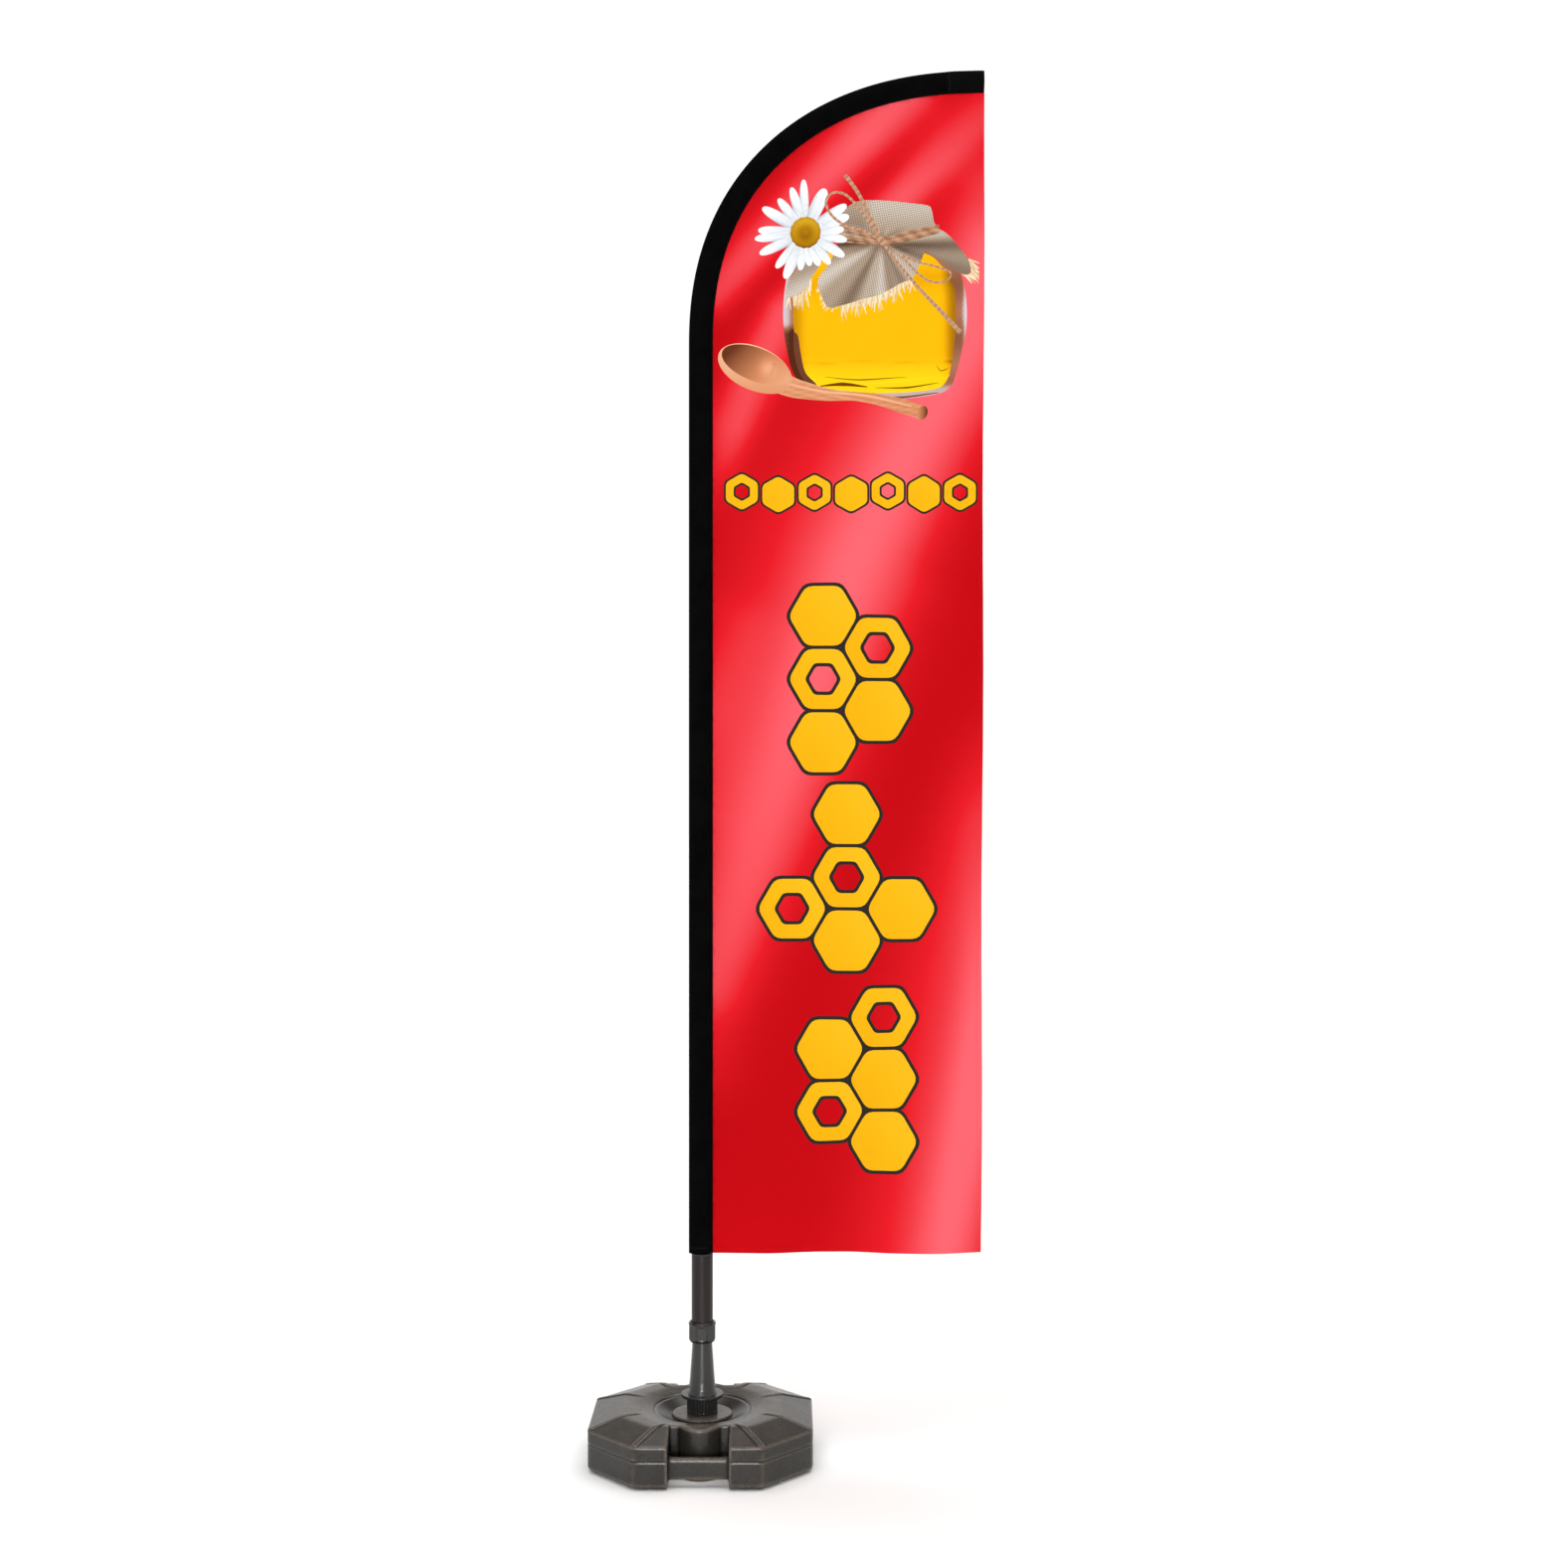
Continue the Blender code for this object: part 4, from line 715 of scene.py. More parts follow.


# The satin's painted sheen streaks, in hundredths. Each point is (x, z, lightness, reach left, reach
# right)
STREAKS = (
    ((0, 102, 18, 10, 10), (2, 120, 31, 12, 12), (9, 140, 38, 16, 13), (15.5, 160, 44, 19, 14),
     (27.5, 195, 52, 22, 15), (38.5, 227, 56, 24, 17), (41, 233, 56, 24, 15),
     (54.5, 260, 55, 23, 14), (70, 292, 62, 16, 14), (75, 320, 50, 12, 12)),
    ((2, 120, 26, 8, 8), (9, 140, 29, 9, 9), (15.5, 160, 34, 10, 11), (27.5, 195, 44, 10, 12),
     (38.5, 227, 46, 10, 13), (54.5, 260, 47, 10, 12), (70, 292, 50, 10, 12), (74, 306, 45, 8, 8)),
    ((0, 165, 8, 10, 10), (3, 190, 24, 10, 10), (10, 209, 16, 9, 9)),
    ((60, 45, 46, 19, 11), (62, 60, 48, 19, 11), (66, 80, 50, 20, 10), (69, 100, 50, 20, 10),
     (71, 120, 48, 20, 10), (72, 140, 48, 16, 10), (73, 160, 46, 12, 10), (75, 190, 4, 8, 8)),
    ((60, 45, 50, 7, 9), (62, 56, 54, 7, 9), (66.5, 80, 60, 7, 9), (69, 100, 58, 6, 8),
     (70.5, 120, 46, 5, 8), (72.5, 150, 10, 5, 8)),
    ((52, 346, 76, 7, 6.6), (41.5, 335, 84, 7, 6), (26.5, 320, 72, 6, 5.5),
     (12.5, 305, 60, 6, 5), (3, 295, 50, 5, 5)),
    ((72, 340, 42, 8, 5), (66.5, 335, 46, 8, 5), (51, 320, 74, 5, 4.6), (36, 305, 60, 5, 5),
     (20.5, 290, 68, 5, 6), (14, 276, 62, 6, 6), (8.2, 261, 54, 7, 5.2), (5, 252, 30, 6, 5),
     (2, 244, 10, 5, 5)),
)


def painted_sheen_tone(x, z):
    """The red's lightness, a painted satin sheen: 0 is deep and 1 is a painted highlight."""
    tone = np.zeros(np.shape(x))
    for streak in STREAKS:
        streak = np.array(streak) / 100
        best, glow = np.full(np.shape(x), np.inf), np.zeros(np.shape(x))
        for a, b in zip(streak, streak[1:]):
            dx, dz = b[0] - a[0], b[1] - a[1]
            t = np.clip(((x - a[0]) * dx + (z - a[1]) * dz) / (dx * dx + dz * dz), 0, 1)
            away = np.hypot(x - a[0] - t * dx, z - a[1] - t * dz)
            right = ((x - a[0]) * dz - (z - a[1]) * dx) * np.sign(dz) > 0
            gain, left_reach, right_reach = (a[k] + (b[k] - a[k]) * t for k in (2, 3, 4))
            here = gain * np.exp(-(away / np.where(right, right_reach, left_reach)) ** 2)
            glow = np.where(away < best, here, glow)
            best = np.minimum(away, best)
        tone = tone + glow
    return np.clip(tone, 0, 1)


# ---------------------------------------------------------------- print

LAYERS = []  # (ink, outline, tone at (x, z)), from the back to the front


def paint(name, outline, tone=0.5):
    LAYERS.append((name, np.array(outline, float), tone))


def oval(x, z, a, b, tilt=0.0, count=40, power=1.0):
    t = np.linspace(0, TAU, count, endpoint=False)
    u = a * np.sign(np.cos(t)) * np.abs(np.cos(t)) ** power
    v = b * np.sign(np.sin(t)) * np.abs(np.sin(t)) ** power
    c, s = math.cos(math.radians(tilt)), math.sin(math.radians(tilt))
    return np.stack([x + u * c - v * s, z + u * s + v * c], -1)


def smooth_path(points, step=0.006):
    """A curve through the points."""
    p = [points[0], *points, points[-1]]
    out = []
    for a, b, c, d in zip(p, p[1:], p[2:], p[3:]):
        a, b, c, d = map(np.array, (a, b, c, d))
        count = max(2, math.ceil(np.linalg.norm(c - b) / step))
        for t in np.arange(count) / count:
            out.append(0.5 * (2 * b + (c - a) * t + (2 * a - 5 * b + 4 * c - d) * t ** 2
                              + (3 * b - a - 3 * c + d) * t ** 3))
    return np.array(out + [np.array(points[-1])])


def closed(points):
    return smooth_path([*points, points[0]])[:-1]


def side_of(line):
    """The direction across a line at each of its points, to the left."""
    ahead = np.gradient(line, axis=0)
    return np.stack([-ahead[:, 1], ahead[:, 0]], -1) / np.linalg.norm(ahead, axis=1)[:, None]


def ribbon(points, widths, step=0.006):
    """An outline round a curve, whose width runs through widths."""
    line = smooth_path(points, step)
    half = np.interp(np.linspace(0, 1, len(line)), np.linspace(0, 1, len(widths)), widths) / 2
    across = side_of(line) * half[:, None]
    return np.concatenate([line + across, (line - across)[::-1]])


def hexagon(x, z, radius, flat_top):
    turns = [math.radians(k * 60 + (0 if flat_top else 30)) for k in range(6)]
    corners = [(x + radius * math.cos(t), z + radius * math.sin(t)) for t in turns]
    return finer(rounded(corners, radius * 0.20), 0.02)


def cell(x, z, radius, line, hollow=0.0, flat_top=True):
    """A honeycomb cell in amber with a dark outline, hollow or filled."""
    paint("print_outline", hexagon(x, z, radius + line / 2, flat_top))
    paint("print_amber", hexagon(x, z, radius - line / 2, flat_top),
          lambda u, v: 0.5 + 0.25 * np.sin((u - x) * 9 + (v - z) * 7))
    if hollow:
        paint("print_outline", hexagon(x, z, radius * hollow + line / 2, flat_top))
        paint("satin_red", hexagon(x, z, radius * hollow - line / 2, flat_top), painted_sheen_tone)


def honeycomb():
    """A row of small cells, and three clusters of large ones below it."""
    step = 0.0925
    for k in range(7):
        x, z = 0.378 + (k - 3) * step, 2.442 + (0.0 if k % 2 else 0.006)
        cell(x, z, step / 1.86, 0.006, 0.0 if k % 2 else 0.42, False)
    for x, z, radius, cells in (
            (0.376, 1.972, 0.0925, ((-0.75, 1.0, 0), (-0.75, 0, 0.45), (-0.75, -1.0, 0),
                                    (0.75, 0.5, 0.45), (0.75, -0.5, 0))),
            (0.367, 1.469, 0.0925, ((0, 1.0, 0), (0, 0, 0.45), (0, -1.0, 0), (-1.5, -0.5, 0.45),
                                    (1.5, -0.5, 0))),
            (0.392, 0.955, 0.0915, ((-0.75, 0.5, 0), (-0.75, -0.5, 0.45), (0.75, 1.0, 0.45),
                                    (0.75, 0.0, 0), (0.75, -1.0, 0)))):
        for across, up, hollow in cells:
            cell(x + across * radius, z + up * math.sqrt(3) * radius, radius, 0.010, hollow)


GLASS = [(0.214, 2.990), (0.206, 2.925), (0.207, 2.860), (0.217, 2.795), (0.232, 2.748),
         (0.262, 2.716), (0.330, 2.694), (0.470, 2.681), (0.585, 2.691), (0.626, 2.710),
         (0.642, 2.742), (0.657, 2.800), (0.669, 2.860), (0.670, 2.920), (0.662, 2.975),
         (0.640, 3.020), (0.560, 3.070), (0.300, 3.060)]
HONEY = [(0.236, 2.990), (0.231, 2.930), (0.232, 2.870), (0.240, 2.805), (0.256, 2.748),
         (0.292, 2.720), (0.380, 2.704), (0.480, 2.698), (0.580, 2.704), (0.616, 2.722),
         (0.632, 2.770), (0.641, 2.840), (0.643, 2.910), (0.636, 2.975), (0.610, 3.020),
         (0.540, 3.060), (0.300, 3.050)]
JAR_X = 0.438
KNOT = (0.456, 3.088)
DAISY = (0.262, 3.104)
PETALS = (  # direction in degrees, reach, and half width in millimetres
    (92, 0.134, 11), (107, 0.120, 12), (128, 0.110, 12), (149, 0.125, 14), (176, 0.118, 13),
    (186, 0.127, 12), (204, 0.125, 13), (230, 0.114, 12), (246, 0.126, 14), (262, 0.096, 11),
    (277, 0.085, 11), (292, 0.090, 12), (308, 0.100, 12), (329, 0.113, 13), (350, 0.105, 12),
    (5, 0.096, 12), (21, 0.116, 14), (34, 0.123, 13), (66, 0.120, 17))


def honey_tone(x, z):
    left = ease(0.275, 0.232, x) * 0.30
    right = ease(0.600, 0.640, x) * 0.42
    shade = 0.14 * np.exp(-((z - 2.975 - 0.06 * (x - 0.3)) / 0.03) ** 2)
    glow = 0.32 * ease(2.80, 2.72, z)
    ripple = 0.20 * np.exp(-((z - 2.777 - 0.004 * np.sin(x * 19)) / 0.0022) ** 2)
    return 0.56 + glow - left - right - shade - ripple


def glass_tone(x, z):
    left = 0.85 - 0.75 * ease(2.875, 2.845, z) - 0.35 * ease(0.214, 0.228, x)
    right = 0.38 + 0.12 * np.sin(z * 46) + 0.55 * np.exp(-((x - 0.668) / 0.006) ** 2)
    foot = ease(2.730, 2.704, z)
    return np.where(x < JAR_X, left, right * (1 - foot) + 0.74 * foot)


def burlap_tone(x, z):
    out = np.hypot(x - KNOT[0], (z - KNOT[1]) * 1.3)
    turn = np.arctan2(z - KNOT[1], x - KNOT[0])
    cap = ease(3.10, 3.13, z)
    folds = (0.24 * np.sin(turn * 7 + 0.6) + 0.10 * np.sin(turn * 19)) * np.clip(out / 0.06, 0, 1)
    under = 0.34 * np.exp(-((z - KNOT[1] + 0.006) / 0.020) ** 2)
    top = 0.55 + 0.20 * ease(3.12, 3.18, z) - 0.25 * ease(0.44, 0.40, x)
    return (1 - cap) * (0.50 + folds) + cap * top - under


def jar():
    paint("print_glass", closed(GLASS), glass_tone)
    paint("print_honey", closed(HONEY), honey_tone)
    paint("print_glass", closed([(0.232, 2.852), (0.243, 2.842), (0.250, 2.800), (0.262, 2.752),
                                 (0.290, 2.722), (0.262, 2.728), (0.243, 2.760), (0.233, 2.805)]),
          0.10)
    for line, width, shade in (
            ([(0.30, 2.718), (0.36, 2.724), (0.42, 2.716)], 0.010, 0.0),
            ([(0.44, 2.713), (0.52, 2.711), (0.60, 2.722)], 0.005, 0.05),
            ([(0.31, 2.742), (0.40, 2.735), (0.52, 2.738)], 0.004, 0.10),
            ([(0.35, 2.730), (0.45, 2.725), (0.59, 2.736)], 0.005, 0.97),
            ([(0.42, 2.704), (0.50, 2.702), (0.58, 2.708)], 0.005, 0.95),
            ([(0.594, 2.768), (0.604, 2.752), (0.626, 2.760)], 0.003, 0.05),
            ([(0.600, 2.742), (0.612, 2.732), (0.628, 2.742)], 0.004, 0.97)):
        paint("print_honey", ribbon(line, [width / 5, width, width / 5], 0.010), shade)
    paint("print_glass", ribbon([(0.300, 2.707), (0.40, 2.693), (0.50, 2.686), (0.60, 2.697)],
                                [0.002, 0.006, 0.006, 0.002]), 0.18)


def fringe(edge, count, long, spread):
    """Loose threads that hang from a cut edge."""
    line = smooth_path(edge)
    for k in range(count):
        at = line[int((k + 0.5) / count * (len(line) - 1))]
        swing = 0.28 * math.sin(k * 2.4) + spread
        reach = long * (0.78 + 0.22 * math.sin(k * 5.7 + 1.0))
        tip = (at[0] + reach * math.sin(swing), at[1] - reach * math.cos(swing))
        middle = ((at[0] + tip[0]) / 2 + 0.002 * math.sin(k * 3.1), (at[1] + tip[1]) / 2)
        paint("print_fringe", ribbon([tuple(at), middle, tip], [0.0044, 0.0036, 0.0012], 0.012),
              0.30 + 0.5 * (k % 3) / 2)


def cover():
    """The jar's burlap cover, tied with twine."""
    left = [(0.262, 3.040), (0.236, 3.005), (0.216, 2.970), (0.214, 2.940), (0.238, 2.944),
            (0.262, 2.962), (0.278, 2.990), (0.300, 3.030)]
    right = [(0.540, 3.080), (0.568, 3.112), (0.602, 3.116), (0.630, 3.096), (0.654, 3.064),
             (0.674, 3.036), (0.680, 3.004), (0.664, 2.996), (0.624, 3.021), (0.598, 3.042)]
    middle = [(0.352, 3.100), (0.326, 3.032), (0.294, 2.984), (0.302, 2.946), (0.320, 2.916),
              (0.352, 2.922), (0.407, 2.940), (0.443, 2.949), (0.474, 2.963), (0.505, 2.981),
              (0.531, 2.991), (0.547, 3.014), (0.565, 3.058), (0.580, 3.084), (0.560, 3.100)]
    cap = [(0.352, 3.092), (0.345, 3.135), (0.368, 3.168), (0.407, 3.186), (0.480, 3.188),
           (0.566, 3.181), (0.583, 3.168), (0.589, 3.136), (0.598, 3.112), (0.530, 3.094),
           (0.440, 3.082)]
    fringe([(0.216, 2.950), (0.240, 2.944), (0.264, 2.962), (0.276, 2.990)], 18, 0.048, -0.05)
    fringe([(0.660, 2.998), (0.680, 3.000), (0.680, 3.020), (0.672, 3.038)], 20, 0.042, 0.95)
    paint("print_burlap", closed(left), burlap_tone)
    paint("print_burlap", closed(right), burlap_tone)
    paint("print_fringe", ribbon([(0.362, 2.922), (0.407, 2.932), (0.443, 2.941), (0.474, 2.955),
                                  (0.505, 2.973), (0.532, 2.986)], [0.010, 0.018, 0.018, 0.010]),
          lambda u, v: 0.45 + 0.30 * np.sin(u * 900))
    fringe([(0.352, 2.926), (0.407, 2.944), (0.443, 2.953), (0.474, 2.967), (0.505, 2.985),
            (0.536, 2.999)], 42, 0.046, 0.10)
    fringe([(0.298, 2.970), (0.306, 2.940), (0.322, 2.920), (0.350, 2.925)], 14, 0.018, -0.6)
    paint("print_burlap", closed(middle), burlap_tone)
    paint("print_burlap", closed(cap), burlap_tone)
    for k in range(5):
        up = (k - 2) * 0.0052
        paint("print_twine", ribbon([(0.345, 3.101 + up * 1.7), (0.400, 3.094 + up * 1.3),
                                     (KNOT[0], KNOT[1] + up * 0.7), (0.530, 3.103 + up),
                                     (0.602, 3.118 + up * 0.8)], [0.0052] * 3, 0.012),
              lambda u, v, k=k: 0.34 + 0.13 * (k % 3) + 0.22 * np.sin(u * 190 + k))


def twine():
    """A bow in front of the cover: two loops, two ends and the knot."""
    def strand(u, v):
        return 0.58 + 0.26 * np.sin((u - v) * 330)
    for line, widths in (
            ([KNOT, (0.412, 3.110), (0.366, 3.121), (0.330, 3.145), (0.314, 3.178),
              (0.327, 3.203), (0.361, 3.201), (0.397, 3.168), (0.428, 3.127), KNOT],
             [0.0075, 0.0065, 0.0075]),
            ([KNOT, (0.423, 3.153), (0.397, 3.202), (0.363, 3.250)], [0.0085, 0.0085, 0.0105]),
            ([KNOT, (0.505, 3.050), (0.557, 2.997), (0.593, 2.979), (0.624, 2.986),
              (0.629, 3.003), (0.598, 3.019), (0.541, 3.037), (0.490, 3.062), KNOT],
             [0.0062, 0.0052, 0.0062]),
            ([KNOT, (0.500, 3.029), (0.577, 2.936), (0.655, 2.849)], [0.0085, 0.0078, 0.0120])):
        paint("print_twine", ribbon(line, widths), strand)
    paint("print_twine", oval(*KNOT, 0.010, 0.010, 20, 18), strand)


def daisy():
    x, z = DAISY
    for turn, reach, half in PETALS:
        c, s = math.cos(math.radians(turn)), math.sin(math.radians(turn))

        def tone(u, v, c=c, s=s, reach=reach, half=half):
            out = ((u - x) * c + (v - z) * s) / reach
            side = ((v - z) * c - (u - x) * s) * 1000 / half
            return 0.10 + 0.75 * out - 0.40 * side ** 4 - 0.12 * side + 0.10 * np.sin(side * 7)
        paint("print_petal", oval(x + c * reach * 0.60, z + s * reach * 0.60, reach * 0.42,
                                  half / 1000, turn, 26, 0.86), tone)

    def disk(u, v):
        out = np.hypot(u - x, v - z) / 0.04
        return (0.62 - 0.35 * np.exp(-((out - 0.25) / 0.3) ** 2) - 0.35 * ease(0.8, 1.0, out)
                + 0.3 * (v - z) / 0.04)
    rim = []
    for k in range(34):
        grow, turn = 0.0012 * math.sin(k * 2.6), k * TAU / 34
        rim.append((x + (0.0385 + grow) * math.cos(turn), z + (0.0405 + grow) * math.sin(turn)))
    paint("print_disk", rim, disk)


def spoon():
    handle = [(0.170, 2.742), (0.220, 2.716), (0.268, 2.705), (0.320, 2.697), (0.387, 2.693),
              (0.448, 2.682), (0.505, 2.665), (0.558, 2.646)]
    paint("print_wood", ribbon(handle, [0.070, 0.052, 0.041, 0.028, 0.023, 0.028, 0.037, 0.036]),
          lambda u, v: 0.60 + 0.14 * np.sin(v * 420 + u * 95) + (v - 2.70) * 1.5)
    paint("print_wood", oval(0.558, 2.646, 0.013, 0.018, -20, 22),
          lambda u, v: 0.42 - (u - 0.550) * 22)
    paint("print_wood", oval(0.134, 2.760, 0.100, 0.055, -24, 44),
          lambda u, v: 0.80 + (v - 2.760) * 3.2)

    def bowl(u, v):
        shine = 0.30 * np.exp(-((u - 0.165) ** 2 + (v - 2.762) ** 2) / 0.0004)
        return np.minimum(0.05 + 3.4 * (u - 0.060) - 3.5 * (v - 2.778) + shine, 0.9)
    paint("print_wood", oval(0.137, 2.770, 0.093, 0.042, -22, 44), bowl)
    paint("print_wood", ribbon([(0.215, 2.722), (0.30, 2.706), (0.42, 2.693), (0.53, 2.662)],
                               [0.002, 0.005, 0.005, 0.002], 0.012), 0.92)


# ---------------------------------------------------------------- the panel's cloth


def in_outline(x, z, outline):
    """Which points are inside a closed outline."""
    low, high = outline.min(0), outline.max(0)
    near = np.flatnonzero((x >= low[0]) & (x <= high[0]) & (z >= low[1]) & (z <= high[1]))
    u, v = x[near], z[near]
    flip = np.zeros(len(near), bool)
    for (xa, za), (xb, zb) in zip(outline, np.roll(outline, -1, axis=0)):
        if za != zb:
            flip ^= ((za > v) != (zb > v)) & (u < xa + (v - za) * (xb - xa) / (zb - za))
    inside = np.zeros(len(x), bool)
    inside[near] = flip
    return inside


def panel_outline():
    """The panel's cut edge: up the seam, then down the free edge and along the foot."""
    seam = EDGE + INWARD * (WIDTH - TUCK)[:, None]
    seam = seam[::2] if len(seam) % 2 else np.concatenate([seam[::2], seam[-1:]])
    top, low = seam[-1][1], PANEL_LOW.z
    cad = [v.co for v in frame["nodes"]["flag_panel"].data.vertices]
    corner_x = max(p.x for p in cad if p.z < low + 0.001)
    down = np.linspace(0, 1, math.ceil((top - low) / 0.012) + 1)[1:]
    free = np.stack([PANEL_HIGH.x - (PANEL_HIGH.x - corner_x) * down, top + (low - top) * down], -1)
    across = np.linspace(free[-1][0], seam[0][0], 58)[1:-1]
    return seam, free, np.stack([across, np.full_like(across, low)], -1)


def inner_points(outline):
    """Points all over the panel, closer together where the picture is."""
    spots = []
    for fine, low, high in ((0.0125, PANEL_LOW.z, 2.60), (0.0078, 2.60, 3.27), (0.0125, 3.27, TOP_Z)):
        x, z = np.meshgrid(np.arange(-0.03, RIGHT_X, fine), np.arange(low, high, fine * 0.866))
        x = x + (np.arange(x.shape[0])[:, None] % 2) * fine / 2
        x, z = x.ravel(), z.ravel()
        keep = in_outline(x, z, outline) & (nearest(x, z, outline) > fine * 0.6)
        spots.append(np.stack([x, z], -1)[keep])
    return np.concatenate(spots)


def cut_panel(outline):
    """Flat points and triangles, with an edge along the outline and along each print layer."""
    points, edges = [], []
    for loop in [outline] + [layer[1] for layer in LAYERS]:
        start = len(points)
        points += [tuple(p) for p in loop]
        edges += [(start + i, start + (i + 1) % len(loop)) for i in range(len(loop))]
    points += [tuple(p) for p in inner_points(outline)]
    made = delaunay_2d_cdt([Vector(p) for p in points], edges, [], 0, 1e-5)
    flat = np.array([tuple(p) for p in made[0]])
    faces = np.array([f for f in made[2] if len(f) == 3])
    return flat, faces[in_outline(*flat[faces].mean(1).T, outline)]


def ink_panel(flat, faces):
    """Each face's ink, and the tone at each of its corners."""
    inked = np.zeros(len(faces), int)
    tone = painted_sheen_tone(*flat[faces].reshape(-1, 2).T).reshape(-1, 3)
    for name, loop, shade in LAYERS:
        hit = in_outline(*flat[faces].mean(1).T, loop)
        inked[hit] = list(INKS).index(name)
        if callable(shade):
            tone[hit] = np.clip(shade(*flat[faces[hit]].reshape(-1, 2).T), 0, 1).reshape(-1, 3)
        else:
            tone[hit] = shade
    return inked, tone


def make_panel(outline):
    flat, faces = cut_panel(outline)
    inked, tone = ink_panel(flat, faces)
    mesh = bpy.data.meshes.new("flag_cloth")
    shaped = np.stack([flat[:, 0], fold_depth(*flat.T), flat[:, 1]], -1)
    mesh.from_pydata(shaped.tolist(), [], faces.tolist())
    for material in INKS.values():
        mesh.materials.append(material)
    mesh.polygons.foreach_set("material_index", inked.astype(np.int32))
    mesh.attributes.new("tone", "FLOAT", "CORNER").data.foreach_set(
        "value", tone.reshape(-1).astype(np.float32))
    bm = bmesh.new()
    bm.from_mesh(mesh)
    bmesh.ops.delete(bm, geom=[v for v in bm.verts if not v.link_faces], context="VERTS")
    bm.to_mesh(mesh)
    bm.free()
    mesh.shade_smooth()
    piece = declare("flag_cloth", mesh, "flag", ["flag_panel"])
    thick = piece.modifiers.new("thickness", "SOLIDIFY")
    thick.thickness, thick.offset = CLOTH, 0.0
    return piece


def make_hem(name, line, inward):
    """A folded hem that wraps the panel's edge."""
    section = [(0.0000, -0.0004), (0.0000, 0.0004), (0.0010, 0.0007), (HEM - 0.0010, 0.0007),
               (HEM, 0.0003), (HEM, -0.0003), (HEM - 0.0010, -0.0007), (0.0010, -0.0007)]
    rows = []
    for reach, y in section:
        spot = line + np.array(inward) * (reach - 0.0006)
        spot[:, 1] = np.maximum(spot[:, 1], PANEL_LOW.z - 0.0005)
        rows.append(np.stack([spot[:, 0], fold_depth(*spot.T) + y, spot[:, 1]], -1))
    rows = np.stack(rows, 1)
    tone = painted_sheen_tone(rows[..., 0].ravel(), rows[..., 2].ravel())
    return loft(name, rows, "flag_fabric", (), 60.0, material=INKS["satin_red"],
                values={"tone": tone})


# ---------------------------------------------------------------- stitches

FACING = (0.0, -1.0, 0.0)
STITCH_HALF = 0.00035


def stitches(name, rows, pitch, long, half, material):
    """Short threads along each row of (x, y, z) points, deep enough to show on both faces."""
    points, faces = [], []
    for row, normal in rows:
        gone = lengths_along(row)
        for start in np.arange(pitch, gone[-1] - pitch, pitch):
            ends = [np.array([np.interp(s, gone, row[:, k]) for k in range(3)])
                    for s in (start, start + long)]
            ahead = (ends[1] - ends[0]) / np.linalg.norm(ends[1] - ends[0])
            side = np.cross(ahead, normal) * STITCH_HALF
            middle, out = (ends[0] + ends[1]) / 2, np.array(normal) * half
            first = len(points)
            for way in (1, -1):
                points += [ends[0] + out * 0.2 * way, middle + (out + side) * way,
                           middle + (out - side) * way, ends[1] + out * 0.2 * way]
            for f in ((0, 1, 2), (1, 3, 2), (4, 5, 6), (5, 7, 6), (0, 4, 6, 1), (0, 2, 5, 4),
                      (3, 1, 6, 7), (3, 7, 5, 2)):
                faces.append(tuple(first + i for i in f))
    return place(name, points, faces, "flag", "webbing", (), 30.0, FINISH[material])


def seam_row(inset):
    spot = EDGE + INWARD * (WIDTH - inset)[:, None]
    return np.stack([spot[:, 0], 0 * spot[:, 0], spot[:, 1]], -1)[1:-1], FACING


def rows_across(station, lift):
    """A row of stitches over the front and one over the back of the sleeve at a station."""
    inward, depth = across_sleeve(0.0)
    return [(sleeve_points(inward, depth + lift, side)[station][2:-2], (0.0, side, 0.0))
            for side in (-1.0, 1.0)]


def hem_row(line, inward, reach):
    spot = line + np.array(inward) * reach
    return np.stack([spot[:, 0], fold_depth(*spot.T), spot[:, 1]], -1), FACING


def tab_row(half, low, high):
    """Once round a box, then across it."""
    corners = ((-half, low), (half, low), (half, high), (-half, high), (-half, low), (half, high))
    return np.array([(x, DEPTH[0] + 0.0022, z) for x, z in corners]), (0.0, 1.0, 0.0)


# ---------------------------------------------------------------- webbing at both ends


def strap(name, line, half, thick, hides, ribs=9):
    """A woven strap along (y, z) points, with a bead down each edge."""
    line = smooth_path(line, 0.0015)
    across = np.linspace(-half, half, 2 * ribs + 1)
    bead = 0.00025 * np.cos(np.linspace(0, ribs * TAU, 2 * ribs + 1))
    bead[0] = bead[-1] = -0.0004
    rows = []
    for x, b in list(zip(across, bead + thick / 2)) + list(zip(across, -bead - thick / 2))[::-1]:
        spot = line - side_of(line) * b
        rows.append(np.stack([np.full(len(line), x), spot[:, 0], spot[:, 1]], -1))
    return loft(name, np.stack(rows, 1), "webbing", hides)


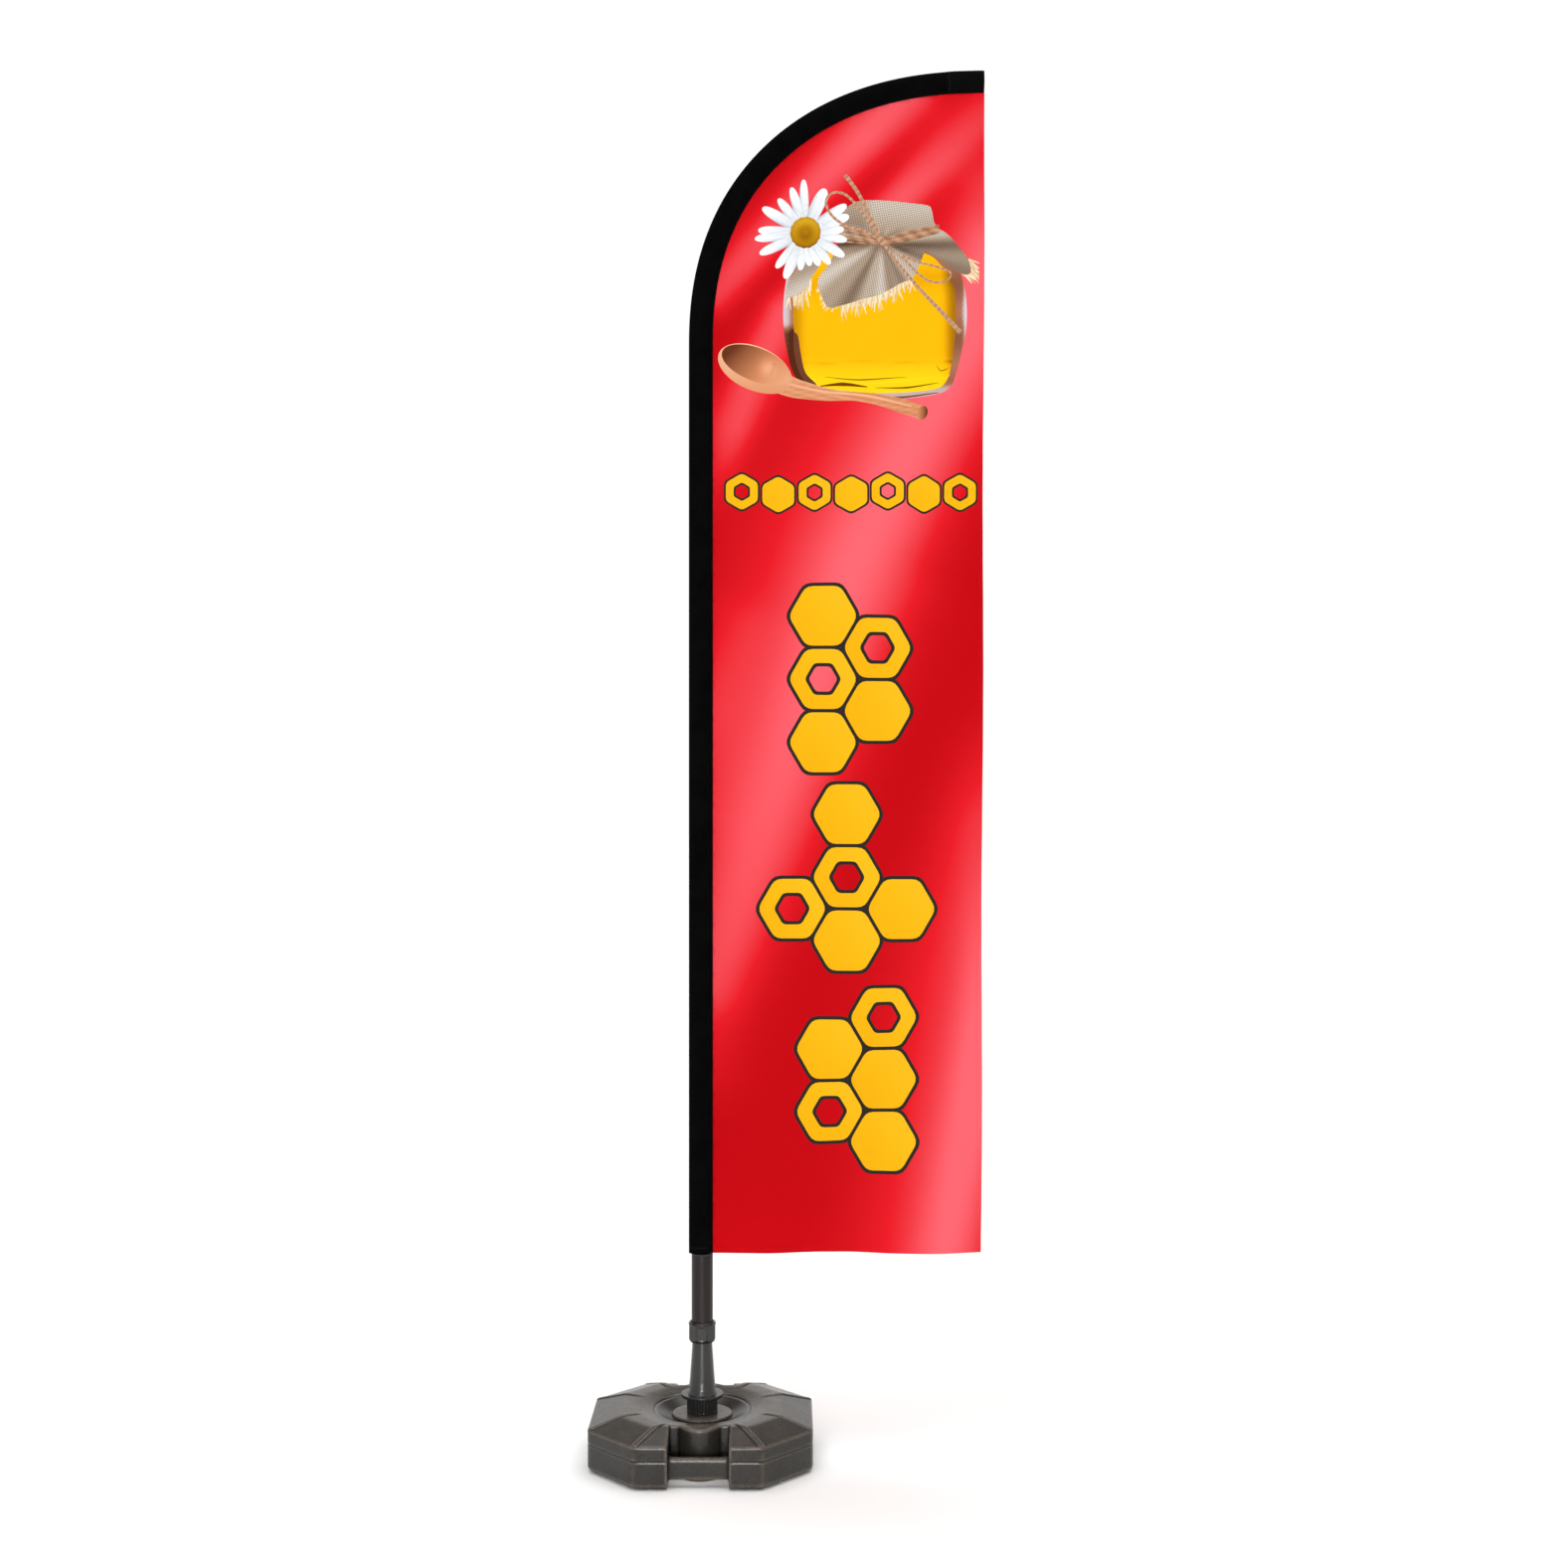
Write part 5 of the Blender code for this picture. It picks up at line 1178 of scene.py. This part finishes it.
def make_tab():
    """The tension tab, with a round hole that buttons over the screw."""
    middle, sewn = TUBE_HIGH.x + 0.0011, DEPTH[0] + 0.0013
    line = [(middle, TAB_LOW.z), (middle, FOOT_Z - 0.004),
            (middle * 0.4 + sewn * 0.6, FOOT_Z + 0.010), (sewn, FOOT_Z + 0.022),
            (sewn, TAB_HIGH.z)]
    tab = strap("tab_strap", line, 0.0110, 0.0016, ["tension_tab"])
    hole = bmesh.new()
    bmesh.ops.create_cone(hole, cap_ends=True, segments=32, radius1=0.0036, radius2=0.0036,
                          depth=0.05)
    tool = bpy.data.meshes.new("tab_hole")
    hole.to_mesh(tool)
    hole.free()
    cutter = link("tab_hole", tool)
    cutter.rotation_euler.x = math.pi / 2
    cutter.location = (0.0, middle, SCREW_Z)
    cut = tab.modifiers.new("hole", "BOOLEAN")
    cut.operation, cut.solver, cut.object = "DIFFERENCE", "EXACT", cutter
    bpy.context.view_layer.update()
    seen = tab.evaluated_get(bpy.context.evaluated_depsgraph_get())
    result = bpy.data.meshes.new_from_object(seen)
    tab.modifiers.clear()
    tab.data = result
    bpy.data.objects.remove(cutter)


def make_end():
    """The closed end of the sleeve, a folded patch sewn over it."""
    inward, depth = across_sleeve(0.0)
    rows = []
    for row, grow in ((-12, 0.0004), (-9, 0.0009), (-2, 0.0009), (-1, 0.0004)):
        front, back = (sleeve_points(inward, depth + grow, side)[row] for side in (-1.0, 1.0))
        loop = np.concatenate([front, back[:0:-1]])
        loop[:, 2] += np.where(loop[:, 2] > loop[:, 2].mean(), grow * 0.5, 0)
        rows.append(loop)
    rows = np.stack(rows)
    rows[-1, :, 0] = np.minimum(RIGHT_X, rows[-1, :, 0])
    loft("sleeve_end", rows, "webbing", ["sleeve_end_patch"])


# ---------------------------------------------------------------- the pieces

sleeve = make_sleeve()

for draw in (jar, cover, daisy, twine, spoon, honeycomb):
    draw()
seam, free, foot = panel_outline()
cut_edge = np.concatenate([seam, free, foot])
panel = make_panel(cut_edge)

sleeve_edge_x = LEFT_X + SLEEVE_WIDTH + GAP
hem_end_x = free[-1][0] - HEM
free_line = np.concatenate([[(PANEL_HIGH.x, TOP_Z - SLEEVE_TIP_WIDTH - GAP)], free])
foot_line = np.array([(hem_end_x - GAP, PANEL_LOW.z),
                      *[p for p in foot if sleeve_edge_x + 0.004 < p[0] < hem_end_x - 0.004],
                      (sleeve_edge_x, PANEL_LOW.z)])
LEFT, UP = (-1.0, 0.0), (0.0, 1.0)
hems = [make_hem("hem_free_edge", free_line, LEFT), make_hem("hem_foot", foot_line, UP)]
seam_thread = stitches("seam_stitches", [seam_row(0.0022), seam_row(0.0072)], 0.0042, 0.0030,
                       0.00155, "thread")
cross_thread = stitches("cross_stitches", rows_across(1, 0.0) + rows_across(-11, 0.0010), 0.0042,
                        0.0030, 0.0004, "thread")
hem_thread = stitches("hem_stitches", [
    hem_row(free_line, LEFT, HEM - 0.003), hem_row(free_line, LEFT, 0.003),
    hem_row(foot_line, UP, HEM - 0.003)], 0.0040, 0.0028, 0.00095, "red_thread")
make_tab()
make_end()
stitches("tab_stitches", [tab_row(0.0082, FOOT_Z + 0.026, TAB_HIGH.z - 0.004)], 0.0036, 0.0026,
         0.0004, "thread")
for make in (make_tank, make_holder, make_nut, make_tube, make_reducer, make_screw):
    make()

# the CAD nodes that stay get their slot's finish
slot_of = {part["node"]: part["material_slot"] for part in frame["record"]["subparts"]}
for node, cad_piece in frame["nodes"].items():
    if slot_of.get(node) in FINISH:
        for held in cad_piece.material_slots:
            held.material = FINISH[slot_of[node]]

# ---------------------------------------------------------------- stage, light and camera


def make_floor():
    bm = bmesh.new()
    bmesh.ops.create_grid(bm, x_segments=4, y_segments=4, size=60.0)
    mesh = bpy.data.meshes.new("floor")
    bm.to_mesh(mesh)
    bm.free()
    s = Shader("floor_paint", Roughness=0.9, Specular_IOR_Level=0.0)
    pale = s.ramp(s.noise(0.6, 2.0), (0.2, rgb(249, 249, 248)), (0.8, rgb(251, 251, 250)))
    s.set(Base_Color=pale)
    mesh.materials.append(s.material)
    link("floor", mesh)


def lamp(name, kind, towards, at=(0, 0, 0), **settings):
    light = bpy.data.lights.new(name, kind)
    for key, value in settings.items():
        setattr(light, key, value)
    made = link(name, light)
    made.location = at
    made.rotation_mode = "QUATERNION"
    made.rotation_quaternion = Vector(towards).to_track_quat("-Z", "Y")
    return made


def make_light():
    """A white studio with a dimmer ceiling, light from above, a tall soft box in front, and a
    low one that is turned on the base."""
    world = bpy.data.worlds.new("studio")
    world.use_nodes = True
    tree = world.node_tree
    coords, split, ramp = (tree.nodes.new("ShaderNode" + kind)
                           for kind in ("TexCoord", "SeparateXYZ", "ValToRGB"))
    wall, ceiling = ramp.color_ramp.elements
    wall.position, wall.color = 0.38, (1.0, 1.0, 1.0, 1.0)
    ceiling.position, ceiling.color = 0.55, (0.20, 0.20, 0.20, 1.0)
    tree.links.new(coords.outputs["Generated"], split.inputs["Vector"])
    tree.links.new(split.outputs["Z"], ramp.inputs["Fac"])
    tree.links.new(ramp.outputs["Color"], tree.nodes["Background"].inputs["Color"])
    bpy.context.scene.world = world
    lamp("key", "SUN", (0.40, 0.55, -1.0), energy=0.3, angle=math.radians(30.0))
    lamp("top", "SUN", (-0.10, -0.10, -1.0), energy=2.2, angle=math.radians(60.0))
    low = lamp("low_box", "AREA", (0.05, 3.0, -0.30), (-0.05, -3.0, 0.32), shape="RECTANGLE",
               size=0.90, size_y=0.50, energy=1.1, spread=math.radians(24.0))
    low.visible_camera = False
    lamp("soft_box", "AREA", (1.0, 5.6, -0.8), (-0.9, -5.6, 2.0), shape="RECTANGLE", size=0.6,
         size_y=3.0, energy=45.0)


def make_camera():
    """Level, square on to the flag, at the height of its middle."""
    distance, view_width = 5.0, 3.982
    lens = bpy.data.cameras.new("camera")
    lens.sensor_width = 36.0
    lens.lens = lens.sensor_width * distance / view_width
    lens.clip_start, lens.clip_end = 0.05, 200.0
    camera = link("camera", lens)
    camera.location = (0.2076, -distance, 1.706)
    camera.rotation_euler = (math.pi / 2, 0.0, 0.0)
    bpy.context.scene.camera = camera


make_floor()
make_light()
make_camera()
bpy.context.scene.view_settings.view_transform = "Standard"
